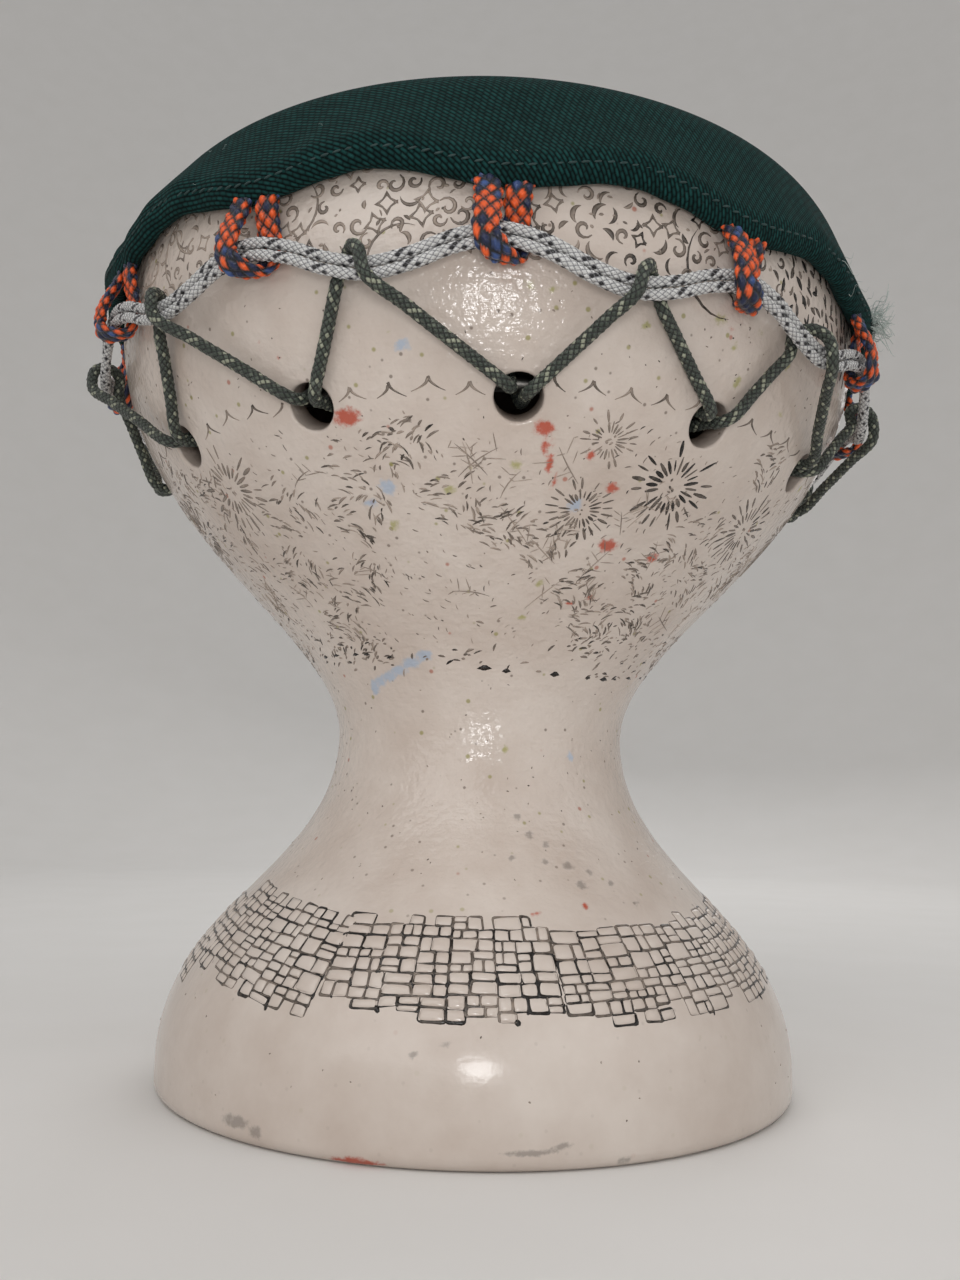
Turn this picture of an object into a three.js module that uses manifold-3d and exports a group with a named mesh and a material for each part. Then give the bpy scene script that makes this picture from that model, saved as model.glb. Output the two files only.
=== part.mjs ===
import * as THREE from 'three';
import Module from 'manifold-3d';

// Sizes in millimetres and degrees. The axis of the drum is Z, the front is at -Y,
// and angles run from the front towards +X.

// Ceramic body
const footRadius = 106.5;
const footEdgeRound = 4;
const footWallHeight = 10;
const waistRadius = 50.2;
const waistHeight = 116;
const bellyRadius = 131;
const rimRadius = 104;
const rimHeight = 297;
const shoulderHeight = 45;
const bellyHeight = rimHeight - shoulderHeight;
const wallThickness = 8;
// How far each profile curve holds its first direction before it bends away
const footPull = 48;
const waistPullBelow = 46;
const waistPullAbove = 37;
const bellyPullBelow = 65;
const bellyPullAbove = 26;
const rimPull = 18;

// Lacing holes
const stationCount = 12;
const holeDrop = 50;
const holeHeight = bellyHeight - holeDrop;
const holeRadius = 6.75;
const firstHoleAngle = 4.3;

// Cloth head and the rolled hem that holds its cord
const clothThickness = 1.4;
const hemRise = 10;
const hemHeight = bellyHeight + hemRise;
const hemScallop = 5;
const hemLean = 6;
const firstTieAngle = 1.3;

// Hem cord, flat braid
const hemCordWidth = 7.4;
const hemCordThickness = 3.2;
const hemCordBend = 6;

// Tension rope, laid twice round the bowl
const ropeRadius = 1.55;
const ropeDrop = 19;
const ropeHeight = bellyHeight - ropeDrop;
const ropeDroop = 4.5;
const ropeLean = 5;
const ropeTailLength = 26;
const ropeTailTurns = 2;

// Lacing cord and the ring inside the bowl that it turns round
const lacingRadius = 1.8;
// Degrees by which a turn over the rope stands aside, and by which its two legs part
const turnShift = 1.9;
const turnSlant = 2.3;
const anchorRadius = 2.5;
const anchorTurns = 2;
const mirroredTurn = 0;

// Gaps that keep touching pieces apart
const seatGap = 0.4;
const strandGap = 0.45;
// A cord bent round another cuts its corners, so its bend starts with a wider gap
const bendGap = 0.85;

// Fineness
const bodySegments = 48;
const clothSegments = 60;
const holeSides = 16;
const casingSides = 8;
const cordSides = 6;
const loopSteps = 18;

const wasm = await Module();
wasm.setup();

const radians = THREE.MathUtils.degToRad;
const stationStep = 360 / stationCount;

// A point at an angle from the front, a radius and a height
function place(angle, radius, height) {
  const turn = radians(angle);
  return new THREE.Vector3(radius * Math.sin(turn), -radius * Math.cos(turn), height);
}

// Unit vectors of the drum at an angle: outwards, and along the way the angle grows
function outward(angle) {
  return place(angle, 1, 0);
}

function along(angle) {
  return place(angle + 90, 1, 0);
}

// Joins rings of points into one closed surface that faces out
function shell(rings, joined) {
  const sides = rings[0].length;
  const points = rings.flat();
  const faces = [];
  const spans = joined ? rings.length : rings.length - 1;
  for (let i = 0; i < spans; i++) {
    const here = i * sides;
    const next = ((i + 1) % rings.length) * sides;
    for (let j = 0; j < sides; j++) {
      const k = (j + 1) % sides;
      faces.push(here + j, next + j, next + k, here + j, next + k, here + k);
    }
  }
  if (!joined) {
    for (const end of [0, rings.length - 1]) {
      const middle = new THREE.Vector3();
      rings[end].forEach((point) => middle.addScaledVector(point, 1 / sides));
      points.push(middle);
      for (let j = 0; j < sides; j++) {
        const here = end * sides + j;
        const next = end * sides + (j + 1) % sides;
        faces.push(points.length - 1, end ? next : here, end ? here : next);
      }
    }
  }
  let volume = 0;
  for (let f = 0; f < faces.length; f += 3) {
    const normal = points[faces[f + 1]].clone().cross(points[faces[f + 2]]);
    volume += points[faces[f]].dot(normal);
  }
  if (volume < 0) faces.reverse();
  const geometry = new THREE.BufferGeometry();
  geometry.setFromPoints(points);
  geometry.setIndex(faces);
  return geometry;
}

function solid(geometry) {
  const vertProperties = new Float32Array(geometry.attributes.position.array);
  const triVerts = new Uint32Array(geometry.index.array);
  return new wasm.Manifold(new wasm.Mesh({ numProp: 3, vertProperties, triVerts }));
}

function surface(body) {
  const mesh = body.getMesh();
  const geometry = new THREE.BufferGeometry();
  geometry.setAttribute('position', new THREE.BufferAttribute(mesh.vertProperties, 3));
  geometry.setIndex(new THREE.BufferAttribute(mesh.triVerts, 1));
  return geometry;
}

// Sweeps an oval along a path. Each normal gives the direction of the oval's depth.
function sweep(path, normals, halfWidth, halfDepth, joined) {
  const count = path.length;
  const rings = path.map((point, i) => {
    const before = joined ? path[(i + count - 1) % count] : path[Math.max(i - 1, 0)];
    const after = joined ? path[(i + 1) % count] : path[Math.min(i + 1, count - 1)];
    const tangent = after.clone().sub(before).normalize();
    const depth = normals[i].clone();
    depth.addScaledVector(tangent, -depth.dot(tangent)).normalize();
    const width = tangent.clone().cross(depth);
    return Array.from({ length: cordSides }, (_, j) => {
      const turn = (2 * Math.PI * j) / cordSides;
      return point.clone()
        .addScaledVector(width, halfWidth * Math.cos(turn))
        .addScaledVector(depth, halfDepth * Math.sin(turn));
    });
  });
  return shell(rings, joined);
}

// Normals that turn as little as they can along a path
function carriedNormals(path) {
  const normals = [];
  let carried = new THREE.Vector3(0.3, 0.5, 0.81);
  path.forEach((point, i) => {
    const before = path[Math.max(i - 1, 0)];
    const after = path[Math.min(i + 1, path.length - 1)];
    const tangent = after.clone().sub(before).normalize();
    carried = carried.clone().addScaledVector(tangent, -carried.dot(tangent)).normalize();
    normals.push(carried);
  });
  return normals;
}

// Least gap of a cord to itself, between points that lie far apart along it
function selfGap(path, thickness, joined) {
  const lengths = [0];
  for (let i = 1; i < path.length; i++) {
    lengths.push(lengths[i - 1] + path[i].distanceTo(path[i - 1]));
  }
  const whole = lengths[path.length - 1] + (joined ? path[0].distanceTo(path[path.length - 1]) : 0);
  let least = Infinity;
  for (let i = 0; i < path.length; i++) {
    for (let j = i + 1; j < path.length; j++) {
      const way = lengths[j] - lengths[i];
      const apart = joined ? Math.min(way, whole - way) : way;
      if (apart > 3 * thickness) {
        least = Math.min(least, path[i].distanceTo(path[j]) - thickness);
      }
    }
  }
  return least;
}

// Points on one curve of the profile, drawn towards a pull point at each end
function profileCurve(start, startPull, end, endPull, steps) {
  const curve = new THREE.CubicBezierCurve(start, startPull, endPull, end);
  return curve.getPoints(steps);
}

// Outer profile of the body as points of radius and height, from the foot to the rim
function bodyProfile(footSteps, bowlSteps, shoulderSteps) {
  const foot = new THREE.Vector2(footRadius, footWallHeight);
  const waist = new THREE.Vector2(waistRadius, waistHeight);
  const belly = new THREE.Vector2(bellyRadius, bellyHeight);
  const rim = new THREE.Vector2(rimRadius, rimHeight);
  const up = (point, pull) => new THREE.Vector2(point.x, point.y + pull);
  const flare = profileCurve(foot, up(foot, footPull), waist, up(waist, -waistPullBelow), footSteps);
  const bowl = profileCurve(waist, up(waist, waistPullAbove), belly, up(belly, -bellyPullBelow), bowlSteps);
  const rimSide = new THREE.Vector2(rimRadius + rimPull, rimHeight);
  const shoulder = profileCurve(belly, up(belly, bellyPullAbove), rim, rimSide, shoulderSteps);
  return [...flare, ...bowl.slice(1), ...shoulder.slice(1)];
}

// Unit direction out of the wall at each profile point, in radius and height
function profileNormals(profile) {
  return profile.map((point, i) => {
    const before = profile[Math.max(i - 1, 0)];
    const after = profile[Math.min(i + 1, profile.length - 1)];
    return new THREE.Vector2(after.y - before.y, before.x - after.x).normalize();
  });
}

const fineProfile = bodyProfile(60, 60, 60);

function bodyRadiusAt(height) {
  const found = fineProfile.findIndex((point) => point.y >= height);
  if (found < 1) return fineProfile[found === 0 ? 0 : fineProfile.length - 1].x;
  const low = fineProfile[found - 1];
  const high = fineProfile[found];
  return THREE.MathUtils.mapLinear(height, low.y, high.y, low.x, high.x);
}

function bodySlopeAt(height) {
  const step = 0.5;
  return (bodyRadiusAt(height + step) - bodyRadiusAt(height - step)) / (2 * step);
}

// Radius at which a round cord lies on the bowl at a height
function restingRadius(height, radius) {
  return bodyRadiusAt(height) + (radius + seatGap) * Math.hypot(1, bodySlopeAt(height));
}

const holeSlope = bodySlopeAt(holeHeight);
const holeOut = new THREE.Vector2(1, -holeSlope).normalize();
const holeUp = new THREE.Vector2(holeSlope, 1).normalize();
const holeCentreRadius = bodyRadiusAt(holeHeight);

// A point near a hole: sideways, up the wall and outwards from the middle of its mouth
function nearHole(angle, side, rise, depth) {
  const radius = holeCentreRadius + rise * holeUp.x + depth * holeOut.x;
  const height = holeHeight + rise * holeUp.y + depth * holeOut.y;
  return place(angle, radius, height).addScaledVector(along(angle), side);
}

function makeBody() {
  const outer = bodyProfile(8, 9, 6);
  const innerSource = bodyProfile(3, 4, 3);
  const normals = profileNormals(innerSource);
  const inner = innerSource.map((point, i) => point.clone().addScaledVector(normals[i], -wallThickness));
  const footEdge = [];
  for (let i = 0; i <= 3; i++) {
    const turn = (Math.PI / 2) * (i / 3);
    footEdge.push(new THREE.Vector2(
      footRadius - footEdgeRound + footEdgeRound * Math.sin(turn),
      footEdgeRound - footEdgeRound * Math.cos(turn),
    ));
  }
  const rimEdge = [];
  for (let i = 1; i <= 3; i++) {
    const turn = Math.PI * (i / 4);
    rimEdge.push(new THREE.Vector2(
      rimRadius - (wallThickness / 2) * Math.sin(turn),
      rimHeight - wallThickness / 2 + (wallThickness / 2) * Math.cos(turn),
    ));
  }
  const innerFoot = new THREE.Vector2(footRadius - wallThickness, 0);
  const loop = [...footEdge, ...outer, ...rimEdge, ...inner.reverse(), innerFoot];
  const rings = Array.from({ length: bodySegments }, (_, i) => {
    const angle = firstHoleAngle + (360 * i) / bodySegments;
    return loop.map((point) => place(angle, point.x, point.y));
  });
  let body = solid(shell(rings, true));
  for (let k = 0; k < stationCount; k++) {
    const angle = firstHoleAngle + k * stationStep;
    const ends = [-2 * wallThickness, wallThickness];
    const drill = ends.map((depth) => Array.from({ length: holeSides }, (_, j) => {
      const turn = (2 * Math.PI * j) / holeSides;
      return nearHole(angle, holeRadius * Math.cos(turn), holeRadius * Math.sin(turn), depth);
    }));
    body = body.subtract(solid(shell(drill, false)));
  }
  return surface(body);
}

// The hem hangs lower at the ties and leans a little to one side
function hemLevel(angle) {
  const wave = 0.5 + 0.5 * Math.cos(stationCount * radians(angle - firstTieAngle));
  return hemHeight - hemScallop * wave - hemLean * Math.sin(radians(angle));
}

const casingHalfDepth = hemCordThickness / 2 + seatGap + clothThickness;
const casingHalfHeight = hemCordWidth / 2 + seatGap + clothThickness;
const casingRadius = bellyRadius + seatGap + casingHalfDepth;

// The rope is high in the ties and low where the lacing draws it down
function ropeWave(angle) {
  return Math.cos(stationCount * radians(angle - firstTieAngle));
}

function ropeLevel(angle) {
  return ropeHeight + ropeDroop * ropeWave(angle) - ropeLean * Math.sin(radians(angle));
}

const strandRise = ropeRadius + strandGap / 2;
const lacingTurn = ropeRadius + bendGap + lacingRadius;

function hemBackRadius(angle) {
  return bodyRadiusAt(ropeLevel(angle) + 4) + seatGap + hemCordThickness / 2;
}

function ropeRadiusAt(angle) {
  const tie = firstTieAngle + stationStep * Math.round((angle - firstTieAngle) / stationStep);
  const turn = firstTieAngle + stationStep * (Math.floor((angle - firstTieAngle) / stationStep) + 0.5);
  const atTie = hemBackRadius(tie) + hemCordThickness / 2 + bendGap + ropeRadius;
  const atTurn = restingRadius(ropeLevel(turn) + 4, lacingRadius) + lacingTurn;
  return THREE.MathUtils.mapLinear(ropeWave(angle), -1, 1, atTurn, atTie);
}

// The hem cord runs inside the hem and is drawn out in one loop round the rope at each tie
function hemCordPath() {
  const path = [];
  const normals = [];
  for (let k = 0; k < stationCount; k++) {
    const tie = firstTieAngle + k * stationStep;
    const legSide = hemCordWidth / 2 + strandGap;
    const bendSide = legSide + hemCordBend;
    const bendMiddle = legSide + hemCordBend * (1 - Math.SQRT1_2);
    const bendDrop = hemCordBend * (1 - Math.SQRT1_2);
    const rope = ropeLevel(tie);
    const ropeAt = ropeRadiusAt(tie);
    const reach = ropeRadius + bendGap + hemCordThickness / 2;
    const low = rope - strandRise - reach;
    const back = hemBackRadius(tie);
    const add = (side, radius, height, turn) => {
      const angle = tie + THREE.MathUtils.radToDeg(side / casingRadius);
      path.push(place(angle, radius, height));
      const normal = outward(angle).multiplyScalar(Math.cos(radians(turn)));
      normal.z = -Math.sin(radians(turn));
      normals.push(normal.multiplyScalar(k % 2 ? -1 : 1));
    };
    const run = radians(stationStep / 2) * casingRadius;
    const level = (side) => hemLevel(tie + THREE.MathUtils.radToDeg(side / casingRadius));
    add(-run, casingRadius, level(-run), 0);
    add(-bendSide, casingRadius, level(-bendSide), 0);
    add(-bendMiddle, casingRadius, level(-bendMiddle) - bendDrop, 0);
    add(-legSide, casingRadius + 1, level(-legSide) - hemCordBend, 0);
    add(-legSide, ropeAt + reach, rope + strandRise + 1, 0);
    add(-legSide, ropeAt + reach, rope - strandRise, 10);
    add(-legSide * 0.6, ropeAt + reach * 0.85, low + reach * 0.25, 45);
    add(0, ropeAt, low, 90);
    add(legSide * 0.6, ropeAt - reach * 0.85, low + reach * 0.25, 135);
    add(legSide, back, rope - strandRise, 170);
    add(legSide, back, rope + strandRise + 1, 180);
    add(legSide, casingRadius, level(legSide) - hemCordBend, 180);
    add(bendMiddle, casingRadius, level(bendMiddle) - bendDrop, 180);
    add(bendSide, casingRadius, level(bendSide), 180);
  }
  return { path, normals };
}

// The cloth lies on the shoulder and the rim, and stands off the bowl at its rolled hem
function makeCloth(bore) {
  const half = clothThickness / 2;
  const profile = bodyProfile(2, 2, 6);
  const raised = profileNormals(profile).map((normal) => normal.multiplyScalar(seatGap + half));
  const seat = profile.map((point, i) => point.clone().add(raised[i])).slice(-4);
  const lines = Array.from({ length: clothSegments }, (_, i) => {
    const angle = firstTieAngle + (360 * i) / clothSegments;
    const hem = new THREE.Vector2(casingRadius + casingHalfDepth - half, hemLevel(angle));
    const rising = [0, 0.33, 0.67].map((part) => {
      const height = THREE.MathUtils.lerp(hem.y, seat[0].y, part);
      const straight = THREE.MathUtils.lerp(hem.x, seat[0].x, part);
      const bulge = 1.6 * part * (1 - part) * (hem.x - seat[0].x);
      return new THREE.Vector2(straight + bulge, height);
    });
    const line = [...rising, ...seat];
    const normals = profileNormals(line);
    const outer = line.map((point, j) => point.clone().addScaledVector(normals[j], half));
    const inner = line.map((point, j) => point.clone().addScaledVector(normals[j], -half));
    return [...outer.reverse(), ...inner].map((point) => place(angle, point.x, point.y));
  });
  const rows = lines[0].map((_, j) => lines.map((line) => line[j]));
  const casing = lines.map((_, i) => {
    const angle = firstTieAngle + (360 * i) / clothSegments;
    return Array.from({ length: casingSides }, (_, j) => {
      const turn = (2 * Math.PI * j) / casingSides;
      const radius = casingRadius + casingHalfDepth * Math.cos(turn);
      return place(angle, radius, hemLevel(angle) + casingHalfHeight * Math.sin(turn));
    });
  });
  const cloth = solid(shell(rows, false)).add(solid(shell(casing, true)));
  return surface(cloth.subtract(solid(bore)));
}

// The rope goes round twice, and its ends hang at the back, one wound round the other
function ropePath() {
  const path = [];
  const add = (angle, out, rise) => {
    path.push(place(angle, ropeRadiusAt(angle) + out, ropeLevel(angle) + rise));
  };
  const tie = firstTieAngle + stationStep * Math.round(stationCount / 2);
  const start = tie + stationStep * 0.3;
  const step = stationStep / 6;
  const tailOut = ropeRadius;
  const windRadius = 2 * ropeRadius + strandGap;
  const tailAngle = start + 0.6;
  const tail = place(tailAngle, ropeRadiusAt(start) + tailOut, ropeLevel(start));
  const windPitch = 2 * ropeRadius + 1.4 * strandGap;
  const windTop = 3 * ropeRadius + windRadius + strandGap;
  const tailPoint = (drop) => tail.clone().setZ(tail.z - drop);
  path.push(tailPoint(ropeTailLength));
  path.push(tailPoint(ropeTailLength / 2));
  path.push(tailPoint(windTop - ropeRadius));
  add(start + 1.2, tailOut / 2, -strandRise - 2.2);
  add(start + 3, 0, -strandRise);
  for (let i = 3; i <= 73; i++) add(tie + i * step, 0, -strandRise);
  add(start + 358, 0, -strandRise / 2);
  add(start + 360, 0, strandRise / 2);
  add(start + 362, 0, strandRise);
  for (let i = 75; i <= 144; i++) add(tie + i * step, 0, strandRise);
  add(start + 715.4, 0.5, strandRise);
  add(start + 716.6, windRadius * 0.75, strandRise);
  add(start + 717.8, windRadius * 1.15, strandRise / 2);
  const steps = ropeTailTurns * loopSteps;
  const out = outward(tailAngle);
  const side = along(tailAngle);
  for (let i = 0; i <= steps; i++) {
    const turn = -Math.PI * 0.75 + (2 * Math.PI * i) / loopSteps;
    path.push(tailPoint(windTop + (windPitch * i) / loopSteps)
      .addScaledVector(out, windRadius * Math.cos(turn))
      .addScaledVector(side, windRadius * Math.sin(turn)));
  }
  return path;
}

const anchorTurn = anchorRadius + bendGap + lacingRadius;
const anchorDepth = -(wallThickness + 2 * bendGap + lacingRadius + anchorTurn);
const anchorRingRadius = holeCentreRadius + anchorDepth * holeOut.x;
const holeLegSide = lacingRadius + strandGap;

// A point on the way round the ring inside, at a turn from straight up towards the middle
function roundAnchor(angle, side, turn) {
  const rise = anchorTurn * Math.cos(radians(turn));
  return nearHole(angle, side, rise, anchorDepth - anchorTurn * Math.sin(radians(turn)));
}

// A cord drawn straight between two points, held off the bowl where it would cut into it
function taut(from, to, parts) {
  return parts.map((part) => {
    const point = from.clone().lerp(to, part);
    const radius = Math.hypot(point.x, point.y);
    const clear = Math.max(radius, restingRadius(point.z, lacingRadius));
    point.x *= clear / radius;
    point.y *= clear / radius;
    return point;
  });
}

// From one hole to the next: out of the hole, over the rope and into the next hole
function lacingStep(station) {
  const fromHole = firstHoleAngle + station * stationStep;
  const toHole = fromHole + stationStep;
  const middle = firstTieAngle + (station + 0.5) * stationStep;
  const front = station === mirroredTurn ? -1 : 1;
  const top = middle - front * turnShift;
  const mouth = lacingRadius + 2 * strandGap;
  const exit = nearHole(fromHole, holeLegSide + 2.2, 4.6, mouth);
  const entry = nearHole(toHole, -holeLegSide - 2.2, 4.6, mouth);
  const over = [-20, 18, 54, 90, 126, 162, 200].map((turn) => {
    const swing = -front * lacingTurn * Math.cos(radians(turn));
    const rise = Math.max(Math.sin(radians(turn)), -0.4) * lacingTurn;
    const lift = turn < 0 || turn > 180 ? -strandRise : strandRise;
    const angle = top + (turnSlant * (turn - 90)) / 110;
    return place(angle, ropeRadiusAt(angle) + swing, ropeLevel(angle) + lift + rise);
  });
  return [
    nearHole(fromHole, holeLegSide, -2.6, -wallThickness - 1),
    nearHole(fromHole, holeLegSide, 0, -wallThickness / 2),
    nearHole(fromHole, holeLegSide + 0.4, 1.8, strandGap),
    exit,
    ...taut(exit, over[0], [0.35, 0.72]),
    ...over,
    ...taut(over[over.length - 1], entry, [0.28, 0.65]),
    entry,
    nearHole(toHole, -holeLegSide - 0.4, 2.8, strandGap),
    nearHole(toHole, -holeLegSide, 2.6, -wallThickness / 2),
    nearHole(toHole, -holeLegSide, 3.4, -wallThickness - 1),
  ];
}

// The lacing starts and ends at the back hole, where each end is wound on the ring inside
function lacingPath() {
  const path = [];
  const back = Math.round(stationCount / 2);
  const pitch = 2 * lacingRadius + 2 * strandGap;
  const winding = (angle, direction) => {
    const points = [];
    for (let i = 0; i <= anchorTurns * loopSteps; i++) {
      const side = direction * (holeLegSide + (pitch * i) / loopSteps);
      const shift = THREE.MathUtils.radToDeg(side / anchorRingRadius);
      const turn = direction > 0 ? 180 - (360 * i) / loopSteps : (360 * i) / loopSteps;
      points.push(roundAnchor(angle + shift, 0, turn));
    }
    return points;
  };
  const backAngle = firstHoleAngle + back * stationStep;
  path.push(...winding(backAngle, 1).reverse());
  for (let k = 0; k < stationCount; k++) {
    const station = back + k;
    path.push(...lacingStep(station % stationCount));
    const hole = firstHoleAngle + ((station + 1) % stationCount) * stationStep;
    if (k < stationCount - 1) {
      path.push(roundAnchor(hole, -holeLegSide * 0.9, 0));
      path.push(roundAnchor(hole, -holeLegSide * 0.5, 50));
      path.push(roundAnchor(hole, 0, 90));
      path.push(roundAnchor(hole, holeLegSide * 0.5, 130));
      path.push(roundAnchor(hole, holeLegSide * 0.9, 180));
    }
  }
  path.push(...winding(backAngle, -1));
  return path;
}

function makeAnchor() {
  const rings = Array.from({ length: bodySegments }, (_, i) => {
    const angle = firstHoleAngle + (360 * i) / bodySegments;
    return Array.from({ length: cordSides }, (_, j) => {
      const turn = (2 * Math.PI * j) / cordSides;
      const rise = anchorRadius * Math.sin(turn);
      return nearHole(angle, 0, rise, anchorDepth + anchorRadius * Math.cos(turn));
    });
  });
  return shell(rings, true);
}

const group = new THREE.Group();
group.name = 'ceramic_drum';

function addPiece(name, geometry, color, roughness, metalness) {
  geometry.computeVertexNormals();
  const material = new THREE.MeshStandardMaterial({ color, roughness, metalness });
  material.name = name;
  const mesh = new THREE.Mesh(geometry, material);
  mesh.name = name;
  group.add(mesh);
}

function roundCord(path, radius) {
  return sweep(path, carriedNormals(path), radius, radius, false);
}

const hemCord = hemCordPath();
const ropeLine = ropePath();
const lacingLine = lacingPath();

function hemSweep(clearance) {
  const halfWidth = hemCordWidth / 2 + clearance;
  const halfDepth = hemCordThickness / 2 + clearance;
  return sweep(hemCord.path, hemCord.normals, halfWidth, halfDepth, true);
}

addPiece('ceramic_body', makeBody(), 0xc8bbaf, 0.22, 0);
addPiece('cloth_head', makeCloth(hemSweep(seatGap)), 0x1d3a38, 0.92, 0);
addPiece('hem_cord', hemSweep(0), 0xc8552a, 0.7, 0);
addPiece('tension_rope', roundCord(ropeLine, ropeRadius), 0xb9b9b6, 0.4, 0);
addPiece('lacing_cord', roundCord(lacingLine, lacingRadius), 0x1f2c24, 0.75, 0);
addPiece('anchor_ring', makeAnchor(), 0x8a8a86, 0.35, 1);

console.log('least gap of the hem cord to itself', selfGap(hemCord.path, hemCordWidth, true).toFixed(2));
console.log('least gap of the rope to itself', selfGap(ropeLine, 2 * ropeRadius, false).toFixed(2));
console.log('least gap of the lacing to itself', selfGap(lacingLine, 2 * lacingRadius, false).toFixed(2));

export default group;
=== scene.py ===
# %% [markdown]
# # A laced goblet drum of glazed clay
# The drum stands on a flared foot. A cloth head is stretched over its bowl, and a cord that runs
# in the hem of the cloth is drawn out in loops. The loops hold a silver rope, and a green cord
# laces the rope down to holes in the bowl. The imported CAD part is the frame: a piece below stands for
# one of its nodes with a finer surface, or lies on such a piece. Lengths are in millimetres until a
# mesh is made.

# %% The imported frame
import bpy
import numpy as np
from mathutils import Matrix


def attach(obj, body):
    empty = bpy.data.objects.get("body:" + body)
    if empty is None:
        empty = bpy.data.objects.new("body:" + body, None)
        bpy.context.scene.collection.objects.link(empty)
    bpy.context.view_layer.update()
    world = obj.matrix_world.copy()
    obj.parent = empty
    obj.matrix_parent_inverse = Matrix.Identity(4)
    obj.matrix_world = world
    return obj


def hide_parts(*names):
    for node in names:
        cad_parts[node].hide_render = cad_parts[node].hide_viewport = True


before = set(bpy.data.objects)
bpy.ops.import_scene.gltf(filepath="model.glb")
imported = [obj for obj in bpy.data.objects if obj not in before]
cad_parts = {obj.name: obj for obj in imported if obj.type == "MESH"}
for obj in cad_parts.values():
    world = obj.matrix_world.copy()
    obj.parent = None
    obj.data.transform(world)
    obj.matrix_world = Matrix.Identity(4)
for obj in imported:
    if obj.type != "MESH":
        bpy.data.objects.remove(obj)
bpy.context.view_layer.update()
chance = np.random.default_rng(7)

# %% [markdown]
# ## The camera
# The picture was taken from close by, a little below the waist of the drum, and looks slightly up.
# A camera is placed by its own three axes: right, up and backwards. The short distance gives the
# strong perspective, so it matters as much as the lens.

# %% Camera at the picture's place
view_pitch, view_roll = np.radians([8.38, 1.17])
camera_place = [-0.00065, -0.405, 0.09245]
sensor_side, focal_pixels, picture_pixels = 36, 1120, 1280
level_right = np.array([1.0, 0.0, 0.0])
level_up = np.array([0.0, -np.sin(view_pitch), np.cos(view_pitch)])
view_ahead = np.array([0.0, np.cos(view_pitch), np.sin(view_pitch)])
camera_axes = np.eye(4)
camera_axes[:3, 0] = level_right * np.cos(view_roll) + level_up * np.sin(view_roll)
camera_axes[:3, 1] = level_up * np.cos(view_roll) - level_right * np.sin(view_roll)
camera_axes[:3, 2] = -view_ahead
camera_axes[:3, 3] = camera_place
camera = bpy.data.objects.new("camera", bpy.data.cameras.new("camera"))
camera.data.lens = sensor_side * focal_pixels / picture_pixels
camera.data.clip_start = 0.01
camera.matrix_world = camera_axes.T.tolist()
bpy.context.collection.objects.link(camera)
bpy.context.scene.camera = camera
print("lens in mm:", camera.data.lens)

# %% [markdown]
# ## Small helpers
# Colours are written as sRGB hex, as a paint chart gives them, and the shader wants linear light.
# One function adds a shader node with its settings and links. Another turns a grid of points into
# a piece: each cell of the grid becomes one four-sided face, and caps close what stays open.

# %% Colour and node helpers
def linear(code):
    """sRGB hex to linear light: c / 12.92 below 0.04045, and ((c + 0.055) / 1.055) ^ 2.4 above."""
    c = np.array([int(code[i:i + 2], 16) for i in (0, 2, 4)]) / 255
    return (*np.where(c <= 0.04045, c / 12.92, ((c + 0.055) / 1.055) ** 2.4).tolist(), 1.0)


def add(tree, kind, inputs=(), **settings):
    """Adds a node, sets its properties, and links or sets its inputs by name or number."""
    made = tree.nodes.new("ShaderNode" + kind)
    for name, value in settings.items():
        setattr(made, name, value)
    for name, value in dict(inputs).items():
        if isinstance(value, bpy.types.Node):
            value = value.outputs[0]
        if isinstance(value, bpy.types.NodeSocket):
            tree.links.new(value, made.inputs[name])
        else:
            made.inputs[name].default_value = value
    return made


def new_finish(name):
    """A material with its node tree and its main shader."""
    finish = bpy.data.materials.new(name)
    finish.use_nodes = True
    return finish, finish.node_tree, finish.node_tree.nodes["Principled BSDF"]


def per(size):
    """Texture scale at which a pattern of this size in mm repeats, on coordinates in metres."""
    return 1000 / size


print("middle grey in linear light:", np.round(linear("808080")[:3], 3))


# %% From a grid of points to a piece
def grid_faces(rows, columns, join_rows=False, join_columns=False):
    """Faces (i, j), (i+1, j), (i+1, j+1), (i, j+1) of a grid, joined round where it closes."""
    i = np.arange(rows if join_rows else rows - 1)[:, None]
    j = np.arange(columns if join_columns else columns - 1)[None, :]
    corners = [(i, j), (i + 1, j), (i + 1, j + 1), (i, j + 1)]
    return np.stack([a % rows * columns + b % columns for a, b in corners], -1).reshape(-1, 4)


def make_object(name, points, faces, finish, caps=()):
    """A mesh object from points in mm, with smooth four-cornered faces and flat caps of any corners."""
    mesh = bpy.data.meshes.new(name)
    mesh.from_pydata((points.reshape(-1, 3) / 1000).tolist(), [], [*faces.tolist(), *caps])
    mesh.polygons.foreach_set("use_smooth", np.arange(len(mesh.polygons)) < len(faces))
    mesh.materials.append(finish)
    made = bpy.data.objects.new(name, mesh)
    bpy.context.collection.objects.link(made)
    return made


print("faces of a grid of 4 by 5 points:", len(grid_faces(4, 5)), "open and",
      len(grid_faces(4, 5, True, True)), "closed")

# %% [markdown]
# ## Floor and light
# The floor is a wide shallow dish, flat under the drum and rising far away, so that the same pale
# ground lies behind the drum from every side. It is open inside the ring of the foot, where only a
# look from below can tell, so that the hollow of the drum gets some light. A small lamp by the camera
# gives the glaze its bright spots, and three large soft lamps with an even sky fill the rest.

# %% Floor
foot_hollow, flat_floor, far_floor, floor_rise = 99.5, 1200, 3000, 0.0009


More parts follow.
